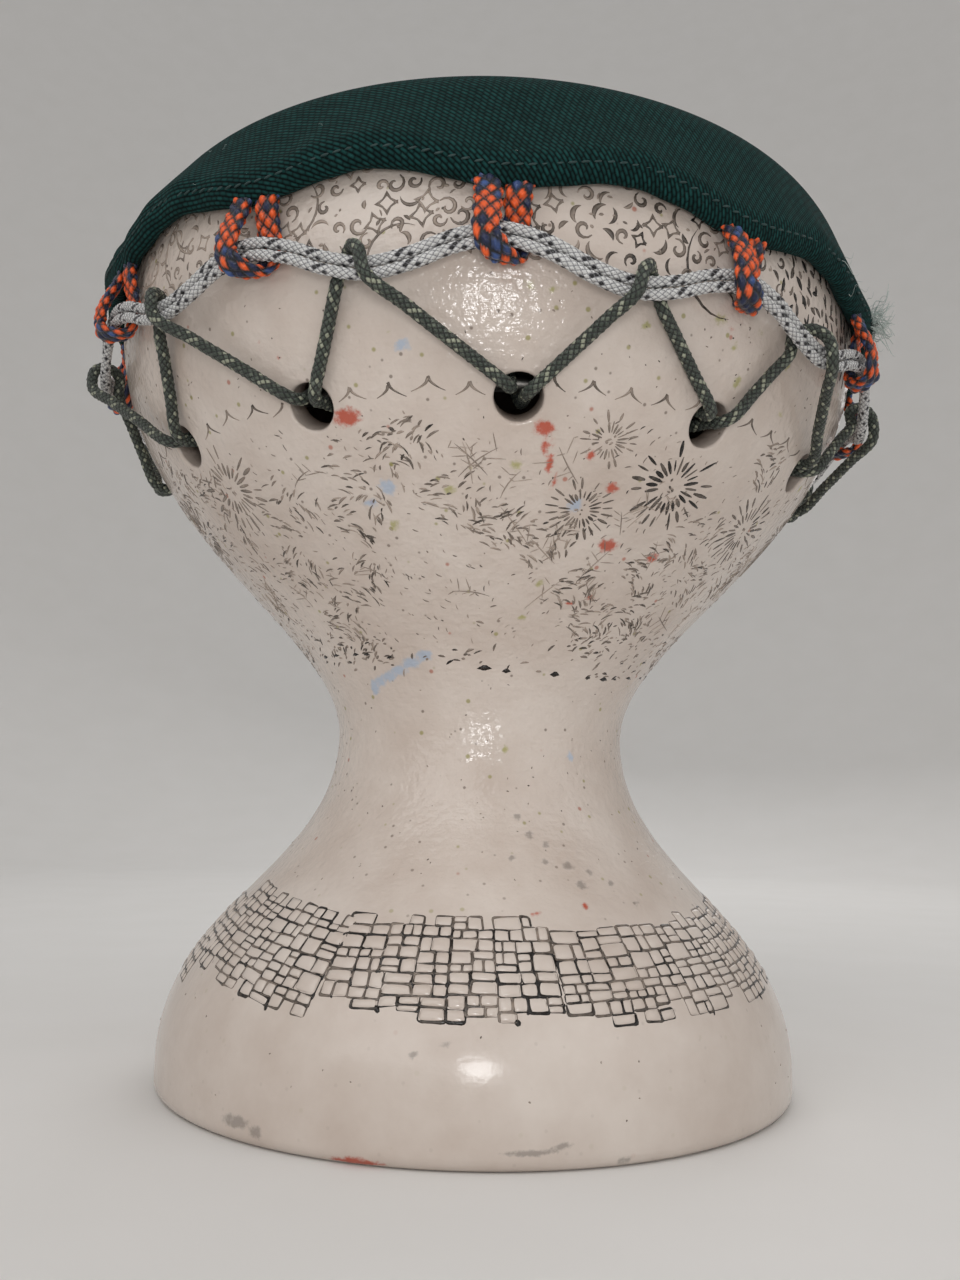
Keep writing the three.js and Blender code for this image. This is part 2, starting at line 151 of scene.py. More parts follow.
def floor_dish():
    """Height 0 out to the flat radius, then a small share of the square of the way beyond it."""
    radius = np.concatenate([[foot_hollow], np.linspace(150, far_floor, 58)])
    height = floor_rise * np.maximum(radius - flat_floor, 0) ** 2
    turn = np.linspace(0, 2 * np.pi, 96, endpoint=False)[:, None]
    points = np.stack(np.broadcast_arrays(radius * np.cos(turn), radius * np.sin(turn), height), -1)
    return points, grid_faces(*points.shape[:2], join_rows=True)[:, ::-1]


# Matt paint: no gleam, and a grain too weak to draw the eye
floor_finish, tree, shader = new_finish("pale matt floor")
floor_grain = add(tree, "TexNoise", {"Vector": add(tree, "TexCoord").outputs["Object"], "Scale": per(60)})
floor_tint = add(tree, "Mix", {0: floor_grain, 6: linear("e8e6e3"), 7: linear("edebe9")}, data_type="RGBA")
tree.links.new(floor_tint.outputs[2], shader.inputs["Base Color"])
shader.inputs["Roughness"].default_value = 0.9
shader.inputs["Specular IOR Level"].default_value = 0.2
# The floor is see-through from below, so that the foot can be looked into
below = add(tree, "MixShader", {0: add(tree, "NewGeometry").outputs["Backfacing"], 1: shader,
                                2: add(tree, "BsdfTransparent")})
tree.links.new(below.outputs[0], tree.nodes["Material Output"].inputs["Surface"])
floor = make_object("floor", *floor_dish(), floor_finish)
print("floor faces:", len(floor.data.polygons))


# %% Lamps and sky
def add_lamp(name, place, target, size, power, shape="SQUARE", spread=180):
    """An area lamp that looks from a place to a target, in metres and watts, with its spread in degrees."""
    lamp = bpy.data.objects.new(name, bpy.data.lights.new(name, "AREA"))
    lamp.data.shape = shape
    lamp.data.size = size
    lamp.data.energy = power
    lamp.data.spread = np.radians(spread)
    back = np.array(place) - np.array(target)
    back = back / np.linalg.norm(back)
    right = np.cross([0.0, 0.001, 1.0], back)
    right = right / np.linalg.norm(right)
    axes = np.eye(4)
    axes[:3, :4] = np.stack([right, np.cross(back, right), back, place], 1)
    lamp.matrix_world = axes.T.tolist()
    bpy.context.collection.objects.link(lamp)


add_lamp("front_lamp", (0.01, -0.43, 0.14), (0, 0, 0.16), 0.08, 0.075, "DISK", 90)
add_lamp("left_softbox", (-0.5, -1.0, 0.95), (0, 0, 0.15), 1.2, 5.2)
add_lamp("right_softbox", (0.95, -0.6, 0.8), (0, 0, 0.15), 1.1, 2.0)
add_lamp("back_softbox", (0.3, 1.1, 0.9), (0, 0, 0.15), 0.9, 3.4)

world = bpy.data.worlds.new("sky")
world.use_nodes = True
bpy.context.scene.world = world
world.node_tree.nodes["Background"].inputs["Color"].default_value = linear("f6f6f6")
world.node_tree.nodes["Background"].inputs["Strength"].default_value = 0.52
bpy.context.scene.view_settings.view_transform = "Standard"

# %% [markdown]
# ## The shape of the body
# The body was thrown on a wheel, so one outline turned about the axis gives it. The outline is
# three smooth curves: foot to waist, waist to belly and belly to rim. Everything else that lies on
# the clay, from stamped marks to cords, is placed by an angle from the front and a length along
# this outline, so one function gives the place for all of them.

# %% Outline of the clay
foot_radius, foot_round, foot_wall, foot_pull = 106.5, 4.0, 10.0, 58.0
waist_radius, waist_height, waist_low_pull, waist_high_pull = 50.2, 116.0, 70.0, 153.0
belly_radius, belly_height, belly_low_pull, belly_high_pull = 131.0, 252.0, 187.0, 278.0
rim_radius, rim_height, rim_pull = 104.0, 297.0, 122.0
wall = 8.0


def bezier(start, start_pull, end_pull, end, steps=160):
    """(1-t)^3 a + 3(1-t)^2 t b + 3(1-t) t^2 c + t^3 d for t from 0 to 1."""
    t = np.linspace(0, 1, steps)[:, None]
    a, b, c, d = map(np.array, (start, start_pull, end_pull, end))
    return (1 - t) ** 3 * a + 3 * (1 - t) ** 2 * t * b + 3 * (1 - t) * t ** 2 * c + t ** 3 * d


edge_turn = np.linspace(0, np.pi / 2, 12)
foot_edge = np.stack([foot_radius - foot_round * (1 - np.sin(edge_turn)),
                      foot_round * (1 - np.cos(edge_turn))], 1)
outline = np.concatenate([
    foot_edge,
    bezier((foot_radius, foot_wall), (foot_radius, foot_pull),
           (waist_radius, waist_low_pull), (waist_radius, waist_height)),
    bezier((waist_radius, waist_height), (waist_radius, waist_high_pull),
           (belly_radius, belly_low_pull), (belly_radius, belly_height))[1:],
    bezier((belly_radius, belly_height), (belly_radius, belly_high_pull),
           (rim_pull, rim_height), (rim_radius, rim_height))[1:]])
steps = np.gradient(outline, axis=0)
outline_out = np.stack([steps[:, 1], -steps[:, 0]], 1) / np.hypot(*steps.T)[:, None]
outline_length = np.concatenate([[0], np.cumsum(np.hypot(*np.diff(outline, axis=0).T))])
print("outline length in mm:", outline_length[-1].round(1))


# %% Places on the clay
def hang(angle, radius, height):
    """Point at an angle in degrees from the front towards +X: (r sin a, -r cos a, z)."""
    turn = np.radians(angle)
    return np.stack(np.broadcast_arrays(radius * np.sin(turn), -radius * np.cos(turn), height), -1)


def radius_at(height):
    """Radius of the outline at a height."""
    return np.interp(height, outline[:, 1], outline[:, 0])


def length_at(height):
    """Length along the outline, from the foot, at a height."""
    return np.interp(height, outline[:, 1], outline_length)


def hand_wobble(angle, height):
    """Slow waves of a fifth of a millimetre that a potter's hands leave, and ridges on the cone."""
    turn = np.radians(angle)
    slow = np.sin(2 * turn + height / 31) + 0.7 * np.sin(3 * turn - height / 19 + 1)
    ridges = np.sin(height / 1.7 + 0.6 * np.sin(turn)) * np.exp(-((height - 95) / 30) ** 2)
    return 0.09 * slow + 0.05 * ridges


def on_clay(angle, length, lift=0.0):
    """Point on the outside at an angle and a length up the outline, lifted along the normal."""
    radius = np.interp(length, outline_length, outline[:, 0])
    height = np.interp(length, outline_length, outline[:, 1])
    out = np.interp(length, outline_length, outline_out[:, 0])
    up = np.interp(length, outline_length, outline_out[:, 1])
    away = lift + hand_wobble(angle, height) * np.clip(height / 12, 0, 1)
    return hang(angle, radius + away * out, height + away * up)


print("front of the waist in mm:", on_clay(0.0, length_at(waist_height)).round(1))

# %% [markdown]
# ## The clay wall and its lacing holes
# The wall is a closed grid: up the outside, over the rim and down the inside. The holes were cut
# while the clay was soft and their edges are rounded, so each is cut with a trumpet-shaped
# plug whose mouth runs out flush with the clay. A boolean makes that cut cleanly.

# %% Clay wall
def signed_volume(points, faces):
    """A sixth of the sum of a . (b x c) over the triangles of a closed surface."""
    a, b, c, d = (points[faces[:, k]] for k in range(4))
    return (np.einsum("ij,ij->", a, np.cross(b, c)) + np.einsum("ij,ij->", a, np.cross(c, d))) / 6


def make_tubes(name, points, finish, closed=False):
    """Object of tubes, from points by tube, ring and side; each runs into itself or gets end caps."""
    tubes, rings, sides = points.shape[:3]
    faces = grid_faces(rings, sides, join_rows=closed, join_columns=True)
    caps = np.stack([np.arange(sides), rings * sides - 1 - np.arange(sides)])[:0 if closed else 2]
    one = points[0].reshape(-1, 3)
    if signed_volume(one - one.mean(0), faces) < 0:
        faces, caps = faces[:, ::-1], caps[:, ::-1]
    start = (np.arange(tubes) * rings * sides)[:, None, None]
    return make_object(name, points, (faces + start).reshape(-1, 4), finish,
                       (caps + start).reshape(-1, sides).tolist())


def wall_points(segments):
    """Outside rows every 1.5 mm, a half-round rim, and the inside one wall thickness in."""
    angle = np.linspace(0, 360, segments, endpoint=False)[:, None]
    outside = on_clay(angle, np.linspace(0, outline_length[-1], 232))
    rim_turn = np.linspace(0, np.pi, 8)[1:-1]
    rim = hang(angle, rim_radius - wall / 2 * np.sin(rim_turn),
               rim_height - wall / 2 * (1 - np.cos(rim_turn)))
    inside = on_clay(angle, np.linspace(outline_length[-1], length_at(foot_wall), 50), -wall)
    base = hang(angle, np.full(2, foot_radius - wall), np.array([5.0, 0.0]))
    return np.concatenate([outside, rim, inside, base], 1)


glaze, glaze_tree, glaze_shader = new_finish("cream glazed stoneware")
body = make_tubes("glazed_body", wall_points(288)[None], glaze, closed=True)
print("faces of the wall:", len(body.data.polygons))

# %% Lacing holes
station_count = 12
station_step = 360 / station_count
hole_angles = 4.3 + station_step * np.arange(station_count)
hole_height, hole_radius, hole_lip = 202.0, 6.9, 0.9
plug_over, plug_flare = 2.0, 0.6


def plug_points(sides=40):
    """Rings about each hole whose radius flares by a quarter circle at both faces of the wall."""
    flare = np.linspace(0, np.pi / 2, 7)
    mouth = hole_radius + hole_lip * (1 - np.sin(flare))
    sink = hole_lip * (1 - np.cos(flare))
    end = [hole_radius + hole_lip + plug_flare]
    radius = np.concatenate([end, mouth, mouth[::-1], end])
    depth = np.concatenate([[plug_over], -sink, sink[::-1] - wall, [-wall - plug_over]])
    turn = np.linspace(0, 2 * np.pi, sides, endpoint=False)
    side = radius[:, None] * np.cos(turn)
    rise = radius[:, None] * np.sin(turn)
    angle = hole_angles[:, None, None] + np.degrees(side / radius_at(hole_height))
    return on_clay(angle, length_at(hole_height) + rise, depth[:, None])


def settle(made, slot, *nodes):
    """Puts a finished piece on the drum's one body and hides the CAD nodes it stands for."""
    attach(made, "root")
    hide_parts(*nodes)
    print(made.name, "has", len(made.data.vertices), "points")


plug_tool = make_tubes("plugs", plug_points(), glaze)
cut = body.modifiers.new("holes", "BOOLEAN")
cut.operation = "DIFFERENCE"
cut.solver = "MANIFOLD"
cut.object = plug_tool
bpy.context.view_layer.update()
drilled = bpy.data.meshes.new_from_object(body.evaluated_get(bpy.context.evaluated_depsgraph_get()))
body.modifiers.clear()
body.data = drilled
bpy.data.objects.remove(plug_tool)
drilled.polygons.foreach_set("use_smooth", np.ones(len(drilled.polygons), bool))
settle(body, "glazed_ceramic", "ceramic_body")

# %% [markdown]
# ## Colour dabs on the glaze
# Spots of red, green, blue and grey stain were dabbed on by hand, and two thin grey dabs low on the
# foot are painted shade at a small step in it. Each dab is a soft bump of a number on the points of
# the wall, highest in its middle, and the shader breaks its edge up with noise. The same way, a number
# says where the clay was left bare, inside the body, and another how uneven the coat of glaze is.

# %% The dabs: angle, height, half width and half height
red_dabs = [(-20.4, 198.7, 5.2, 3.4), (8.3, 195.6, 3.6, 3.0), (9.2, 191.5, 1.7, 3.6), (9.9, 187.5, 1.2, 3.6),
            (10.9, 183.6, 1.0, 3.4), (16.1, 190.3, 2.0, 1.8), (21.4, 183.4, 2.6, 2.4),
            (25.1, 169.9, 4.2, 2.8), (37.0, 168.6, 2.8, 2.2), (21.8, 154.3, 1.8, 1.2),
            (26.5, 156.1, 1.8, 1.3), (-30.7, 218.8, 1.4, 2.8), (-29.2, 215.0, 1.2, 2.4),
            (-16.4, 1.2, 9.0, 1.8), (140, 190, 5.0, 3.2), (-95, 176, 3.0, 3.4),
            (-150, 205, 4.0, 2.6), (88, 160, 2.6, 2.0), (175, 172, 3.4, 2.4), (12, 45, 1.5, 1.3),
            (12, 62, 1.5, 1.3), (24, 64, 1.6, 1.4), (33, 226, 1.5, 1.9)]
blue_dabs = [(-10.9, 214.1, 2.8, 2.2), (-16.6, 181.9, 3.2, 3.0), (-20.3, 178.6, 3.0, 1.8),
             (15.8, 178.5, 2.6, 3.0), (35.2, 108.4, 1.6, 2.0), (-40.3, 129.6, 2.4, 3.2),
             (-37.0, 131.4, 3.2, 2.2), (-32.5, 132.8, 3.6, 2.3), (-28.0, 134.4, 3.6, 2.3),
             (-23.0, 136.6, 3.8, 2.3), (-18.0, 138.6, 3.6, 2.4), (120, 185, 3.0, 3.4),
             (-120, 196, 3.2, 2.2), (-165, 150, 2.6, 2.4)]
green_dabs = [(4.5, 228.2, 1.9, 1.9), (7.8, 227.4, 1.6, 1.6), (4.6, 186.7, 2.0, 2.0), (12.9, 158.8, 1.6, 1.8),
              (10.3, 149.4, 1.6, 1.6), (30.5, 227.5, 2.4, 2.0), (-5.9, 180.7, 2.0, 1.8),
              (-16.9, 172.9, 1.8, 2.2), (34, 222, 1.6, 1.6), (41, 219, 1.8, 2.0), (-12, 217, 1.3, 1.5),
              (100, 214, 2.6, 2.2), (38, 228, 1.7, 1.8), (36, 214, 1.8, 2.2), (45, 223, 1.6, 1.6),
              (24, 231, 1.6, 1.7), (20, 222, 1.5, 1.5), (48, 211, 1.7, 1.7), (13, 216, 1.5, 1.6),
              (9, 110, 1.5, 1.5), (-80, 190, 2.4, 2.2), (150, 224, 2.2, 2.2), (-140, 170, 2.0, 2.0),
              (70, 200, 1.8, 2.0)]
# The two thin dabs at 7.9 and 12.5 degrees, 5 to 7 mm up, are a line of painted shade at a small step in the
# foot
grey_dabs = [(15.0, 83.7, 1.8, 1.8), (17.5, 76.0, 1.6, 1.4), (23.6, 74.9, 2.4, 1.8), (25.3, 69.6, 2.2, 2.0),
             (-37.3, 6.0, 6.5, 2.2), (-33, 4.6, 2.6, 2.4), (7.9, 5.4, 8.5, 0.9), (12.5, 6.8, 3.0, 0.9),
             (21.9, 2.0, 2.4, 1.6), (-4.2, 30.7, 1.8, 1.2), (-9, 28, 1.6, 1.2), (110, 8, 7.0, 2.0),
             (-140, 6, 6.0, 1.8), (-90, 78, 2.0, 1.8), (170, 80, 2.2, 2.0), (19, 81, 1.6, 1.5),
             (29, 73, 1.6, 1.4), (34, 70, 1.6, 1.5), (12, 89, 1.5, 1.6), (38, 64, 1.6, 1.4),
             (9, 77, 1.5, 1.4)]
print("dabs:", len(red_dabs), len(blue_dabs), len(green_dabs), len(grey_dabs))

# %% Dabs, bare clay and uneven glaze as numbers on the points
body_points = np.empty(len(drilled.vertices) * 3)
drilled.vertices.foreach_get("co", body_points)
body_points = body_points.reshape(-1, 3) * 1000
body_angle = np.degrees(np.arctan2(body_points[:, 0], -body_points[:, 1]))
body_height = body_points[:, 2]
body_radius = np.hypot(body_points[:, 0], body_points[:, 1])


def dab_strength(dabs):
    """Largest over the dabs of exp(-(x / wide)^2 - (y / tall)^2), with x and y in mm on the clay."""
    angle, height, wide, tall = np.array(dabs).T[:, :, None]
    turned = (body_angle - angle + 180) % 360 - 180
    across = np.radians(turned) * body_radius / wide
    upward = (length_at(body_height) - length_at(height)) / tall
    return np.exp(-across ** 2 - upward ** 2).max(0)


def add_values(made, name, values):
    """Stores one number per point for the shader to read."""
    made.data.attributes.new(name, "FLOAT", "POINT").data.foreach_set("value", values.astype(np.float32))


slope = np.interp(body_height, outline[:, 1], outline_out[:, 0])
sunk = (radius_at(body_height) - body_radius) * slope
glazed_depth, glaze_fade, glazed_rim = 0.6, 0.9, 292
smooth_foot, rough_rise, least_peel = 20, 70, 0.12
for dab_name, dabs in (("red", red_dabs), ("blue", blue_dabs), ("green", green_dabs), ("grey", grey_dabs)):
    add_values(body, dab_name, dab_strength(dabs) * (sunk < 1))
add_values(body, "bare", np.clip((sunk - glazed_depth) / glaze_fade, 0, 1) * (body_height < glazed_rim))
add_values(body, "peel", np.clip((body_height - smooth_foot) / rough_rise, least_peel, 1))
print("share of points on bare clay:", (sunk > glazed_depth + glaze_fade).mean().round(2))

# %% [markdown]
# ## The glaze
# A tin-white gloss glaze over buff clay: cream, a little pinker where it is thin, with iron specks.
# It was laid on with a brush and dried bumpy like orange peel. The bumps are a few millimetres wide,
# and break a lamp's reflection into sparks. Inside, the clay is bare and matt, and its colour is made
# darker than the clay's own, as painted shade of the hollow and the walls of the holes.

# %% Colour of the glaze
place = add(glaze_tree, "TexCoord").outputs["Object"]
pooling = add(glaze_tree, "TexNoise", {"Vector": place, "Scale": per(38), "Detail": 5.0, "Roughness": 0.6})
pooled = add(glaze_tree, "MapRange", {"Value": pooling, "From Min": 0.3, "From Max": 0.7})
cream = add(glaze_tree, "Mix", {0: pooled, 6: linear("c5b6ab"), 7: linear("d9cec5")},
            data_type="RGBA").outputs[2]
ragged = add(glaze_tree, "TexNoise", {"Vector": place, "Scale": per(1.7), "Detail": 4.0, "Roughness": 0.65})

# Iron and colour specks: small balls about scattered points, where they meet the surface; few on the foot
uneven = add(glaze_tree, "Attribute", attribute_name="peel").outputs["Fac"]
for cell, size, tint in ((5.5, 0.07, "655649"), (8.0, 0.065, "8f8a3f"), (11.0, 0.05, "a8583f")):
    scatter = add(glaze_tree, "TexVoronoi", {"Vector": place, "Scale": per(cell), "Randomness": 1.0})
    near = add(glaze_tree, "MapRange", {"Value": scatter.outputs["Distance"], "From Min": size * 1.8,
                                        "From Max": size * 0.8, "To Max": 0.7},
               interpolation_type="SMOOTHSTEP")
    near = add(glaze_tree, "Math", {0: near, 1: uneven}, operation="MULTIPLY")
    cream = add(glaze_tree, "Mix", {0: near, 6: cream, 7: linear(tint)}, data_type="RGBA").outputs[2]

for dab_name, tint, cover in (("green", "9c9a4a", 0.7), ("grey", "716b66", 0.55), ("blue", "a3b5cb", 0.75),
                              ("red", "b5492f", 0.92)):
    strength = add(glaze_tree, "Attribute", attribute_name=dab_name).outputs["Fac"]
    broken = add(glaze_tree, "Math", {0: ragged, 1: 0.9, 2: strength}, operation="MULTIPLY_ADD")
    shown = add(glaze_tree, "MapRange", {"Value": broken, "From Min": 0.8, "From Max": 1.25, "To Max": cover},
                interpolation_type="SMOOTHSTEP")
    cream = add(glaze_tree, "Mix", {0: shown, 6: cream, 7: linear(tint)}, data_type="RGBA").outputs[2]

bare = add(glaze_tree, "Attribute", attribute_name="bare").outputs["Fac"]
# Bare clay: its own matt brown, made darker as painted shade of the hollow and the hole walls
clay_grain = add(glaze_tree, "TexNoise", {"Vector": place, "Scale": per(6), "Detail": 6.0})
clay_and_painted_shade = add(glaze_tree, "Mix", {0: clay_grain, 6: linear("42352c"), 7: linear("6b594c")},
                data_type="RGBA")
skin = add(glaze_tree, "Mix", {0: bare, 6: cream, 7: clay_and_painted_shade.outputs[2]}, data_type="RGBA").outputs[2]
glaze_tree.links.new(skin, glaze_shader.inputs["Base Color"])
print("nodes for the colour:", len(glaze_tree.nodes))

# %% Gloss and bumps of the glaze
gloss = add(glaze_tree, "MapRange", {"Value": pooling, "From Min": 0.3, "From Max": 0.75,
                                     "To Min": 0.13, "To Max": 0.22})
matt = add(glaze_tree, "Mix", {0: bare, 2: gloss, 3: 0.85})
glaze_tree.links.new(matt.outputs[0], glaze_shader.inputs["Roughness"])
glaze_shader.inputs["IOR"].default_value = 1.5

peel = add(glaze_tree, "TexNoise", {"Vector": place, "Scale": per(2.6), "Detail": 2.0, "Roughness": 0.5})
peel_depth = add(glaze_tree, "Math", {0: peel, 1: uneven}, operation="MULTIPLY")
bumps = add(glaze_tree, "Bump", {"Height": peel_depth, "Strength": 0.7, "Distance": 0.0007})
# The brush went round level, so it left low streaks about 2 mm tall and ten times as long
level = add(glaze_tree, "Mapping", {"Vector": place, "Scale": (per(22), per(22), per(2.2))})
streaks = add(glaze_tree, "TexNoise", {"Vector": level, "Scale": 1.0, "Detail": 3.0, "Roughness": 0.6})
streak_depth = add(glaze_tree, "Math", {0: streaks, 1: uneven}, operation="MULTIPLY")
brushed = add(glaze_tree, "Bump", {"Height": streak_depth, "Strength": 0.3, "Distance": 0.0006,
                                   "Normal": bumps})
glaze_tree.links.new(brushed.outputs[0], glaze_shader.inputs["Normal"])
print("glaze nodes:", len(glaze_tree.nodes))

# %% [markdown]
# ## Stamped marks
# Rubber stamps and carved rollers were pressed into the clay, and black stain was rubbed into
# the marks. Every mark is a stroke: a thin ribbon that follows a line on the clay and swells or
# tapers. A ribbon is three points wide, with its middle higher, so it catches the light as a ridge does.
# Its edges dip into the clay and a flat face below closes it.

# %% Black stain
# Iron stain under glaze: glossy, nearly black where it is thick, and clay-brown where it was wiped thin;
# that pale end also stands as painted shade for marks pressed with no stain in them
stain, stain_tree, stain_shader = new_finish("iron-black stain under glaze")
ink = add(stain_tree, "Attribute", attribute_name="ink").outputs["Fac"]
worn = add(stain_tree, "TexNoise", {"Vector": add(stain_tree, "TexCoord").outputs["Object"],
                                    "Scale": per(2.4), "Detail": 3.0})
full = add(stain_tree, "Math", {0: worn, 1: 0.8, 2: ink}, operation="MULTIPLY_ADD")
held = add(stain_tree, "MapRange", {"Value": full, "From Min": 0.5, "From Max": 1.3})
black = add(stain_tree, "Mix", {0: held, 6: linear("ab9c8f"), 7: linear("17120f")}, data_type="RGBA")
stain_tree.links.new(black.outputs[2], stain_shader.inputs["Base Color"])
stain_shader.inputs["Roughness"].default_value = 0.25
print("stain nodes:", len(stain_tree.nodes))

# %% From lines to ribbons
mark_points, mark_faces, mark_caps, mark_ink = [], [], [], []
ribbon_sink, ribbon_rise = 0.03, 0.13
# Half a ribbon in widths: about four fifths of it stand above the clay
ribbon_half = 0.615
hole_margin = 0.7


def press(name):
    """Makes one piece of all the ribbons drawn since the last one."""
    marks = make_object(name, np.concatenate(mark_points), np.concatenate(mark_faces), stain, mark_caps)
    add_values(marks, "ink", np.concatenate(mark_ink))
    settle(marks, "glazed_ceramic")
    for drawn in (mark_points, mark_faces, mark_caps, mark_ink):
        drawn.clear()


def draw(angle, length, width, ink):
    """Ribbons for a table of lines, one line per row: each point spreads half a width to both sides.

    A line that would cross a lacing hole is left out, as the holes were cut after the stamping.
    """
    aside = (angle - hole_angles[0] + station_step / 2) % station_step - station_step / 2
    from_hole = np.hypot(np.radians(aside) * radius_at(hole_height), length - length_at(hole_height))
    clear = from_hole.min(1) > hole_radius + hole_lip + hole_margin
    angle, length, width, ink = angle[clear], length[clear], width[clear], ink[clear]
    radius = np.interp(length, outline_length, outline[:, 0])
    ahead = np.stack([np.radians(np.gradient(angle, axis=1)) * radius, np.gradient(length, axis=1)])
    ahead = ahead / np.maximum(np.hypot(*ahead), 1e-9)
    spread = np.array([-ribbon_half, 0.0, ribbon_half]) * width[..., None]
    points = on_clay(angle[..., None] - np.degrees(ahead[1][..., None] * spread / radius[..., None]),
                     length[..., None] + ahead[0][..., None] * spread,
                     np.array([-ribbon_sink, ribbon_rise, -ribbon_sink]))
    lines, count = angle.shape
    start = sum(map(len, mark_points)) + count * 3 * np.arange(lines)[:, None, None]
    around = grid_faces(count, 3, join_columns=True)[:, ::-1].reshape(-1, 3, 4)
    ends = np.array([[2, 1, 0], [count * 3 - 3, count * 3 - 2, count * 3 - 1]])
    mark_faces.append((around[:, :2].reshape(-1, 4) + start).reshape(-1, 4))
    mark_caps.extend((around[:, 2] + start).reshape(-1, 4).tolist())
    mark_caps.extend((ends + start).reshape(-1, 3).tolist())
    mark_points.append(points.reshape(-1, 3))
    mark_ink.append(np.repeat(ink, count * 3))


def pressed(x, y, angle, height, tilt):
    """Angle and outline length of places in a stamp's own mm: turned by the tilt, then laid on the clay."""
    angle, height, tilt = (np.broadcast_to(v, len(x))[:, None] for v in (angle, height, np.radians(tilt)))
    across = x * np.cos(tilt) - y * np.sin(tilt)
    upward = x * np.sin(tilt) + y * np.cos(tilt)
    return angle + np.degrees(across / radius_at(height)), length_at(height) + upward


def stamp(x, y, width, angle, height, tilt=0.0, ink=None):
    """Ribbons along lines in a stamp's own mm, pressed on at an angle and a height."""
    ink = chance.uniform(0.45, 1.0, len(x)) if ink is None else ink
    draw(*pressed(x, y, angle, height, tilt), np.broadcast_to(width, x.shape), ink)


def taper(count, blunt=0.15):
    """Width along a stroke: a half sine that keeps a little breadth at its ends."""
    return blunt + (1 - blunt) * np.sin(np.linspace(0, np.pi, count))


print("widths along a stroke of five points:", taper(5).round(2))

# %% [markdown]
# ## Stone blocks round the foot
# The band above the foot looks like a wall of rough stones. It was pressed on patch by patch with
# one stamp. A patch starts as one block and is cut in two again and again at random places, which
# gives the jumble of sizes. The dark joint is the outline of each block, and the stone itself is a low
# pillow of glaze whose edges dip into the joint.

# %% Cutting a patch into blocks
block_wide, block_tall = 10.5, 7.0
least_wide, least_tall = (5.5, 12.5), (3.6, 7.6)


def cut_blocks(blocks):
    """Cuts each block that is too wide or too tall at 35 to 65 % of its size: x0, x1, y0, y1 in mm."""
    x0, x1, y0, y1 = blocks.T
    wide, tall = x1 - x0, y1 - y0
    across = wide / block_wide > tall / block_tall
    share = chance.uniform(0.35, 0.65, len(blocks))
    whole = np.where(across, wide < chance.uniform(*least_wide, len(blocks)),
                     tall < chance.uniform(*least_tall, len(blocks)))
    x_cut = np.where(across & ~whole, x0 + share * wide, x1)
    y_cut = np.where(~across & ~whole, y0 + share * tall, y1)
    first = np.stack([x0, x_cut, y0, y_cut], 1)
    second = np.stack([np.where(across, x_cut, x0), x1, np.where(across, y0, y_cut), y1], 1)
    return np.concatenate([first, second[~whole]])


def on_blocks(blocks, lean, u, v):
    """Middle + half size * u * (1 + a v) + b v across, and the same upward; u and v run from -1 to 1."""
    x0, x1, y0, y1 = blocks.T[:, :, None]
    half_x, half_y = (x1 - x0) / 2, (y1 - y0) / 2
    return ((x0 + x1) / 2 + half_x * u * (1 + lean[0] * v) + lean[1] * half_y * v,
            (y0 + y1) / 2 + half_y * v * (1 + lean[2] * u) + lean[3] * half_x * u)


patch_count, patch_half_height, cut_rounds = 9, 16.0, 9
patch_width = 2 * np.pi * radius_at(50) / patch_count
patch_angles = -6 + 40.0 * np.arange(patch_count)
patch_tilts = np.array([0.5, 2.0, 5.0, -3.0, 2.0, -4.0, 3.0, -5.0, -9.0])
patch_heights = np.array([49.2, 48.6, 51.0, 49.0, 51.0, 50.0, 48.5, 51.0, 51.6])
print("width of a patch in mm:", patch_width.round(1))

# %% Stone-block band
stone_rows = 6
stone_side = np.sin(np.linspace(-np.pi / 2, np.pi / 2, stone_rows))
stone_u, stone_v = (side.ravel() for side in np.meshgrid(stone_side, stone_side, indexing="ij"))
pillow = (1 - stone_u ** 4) * (1 - stone_v ** 4)
corner_u, corner_v = stone_u * np.sqrt(1 - 0.16 * stone_v ** 2), stone_v * np.sqrt(1 - 0.16 * stone_u ** 2)
joint_half, stone_sink, stone_points = 0.13, 0.1, []
ragged_from, corner_share = 12.0, 0.22
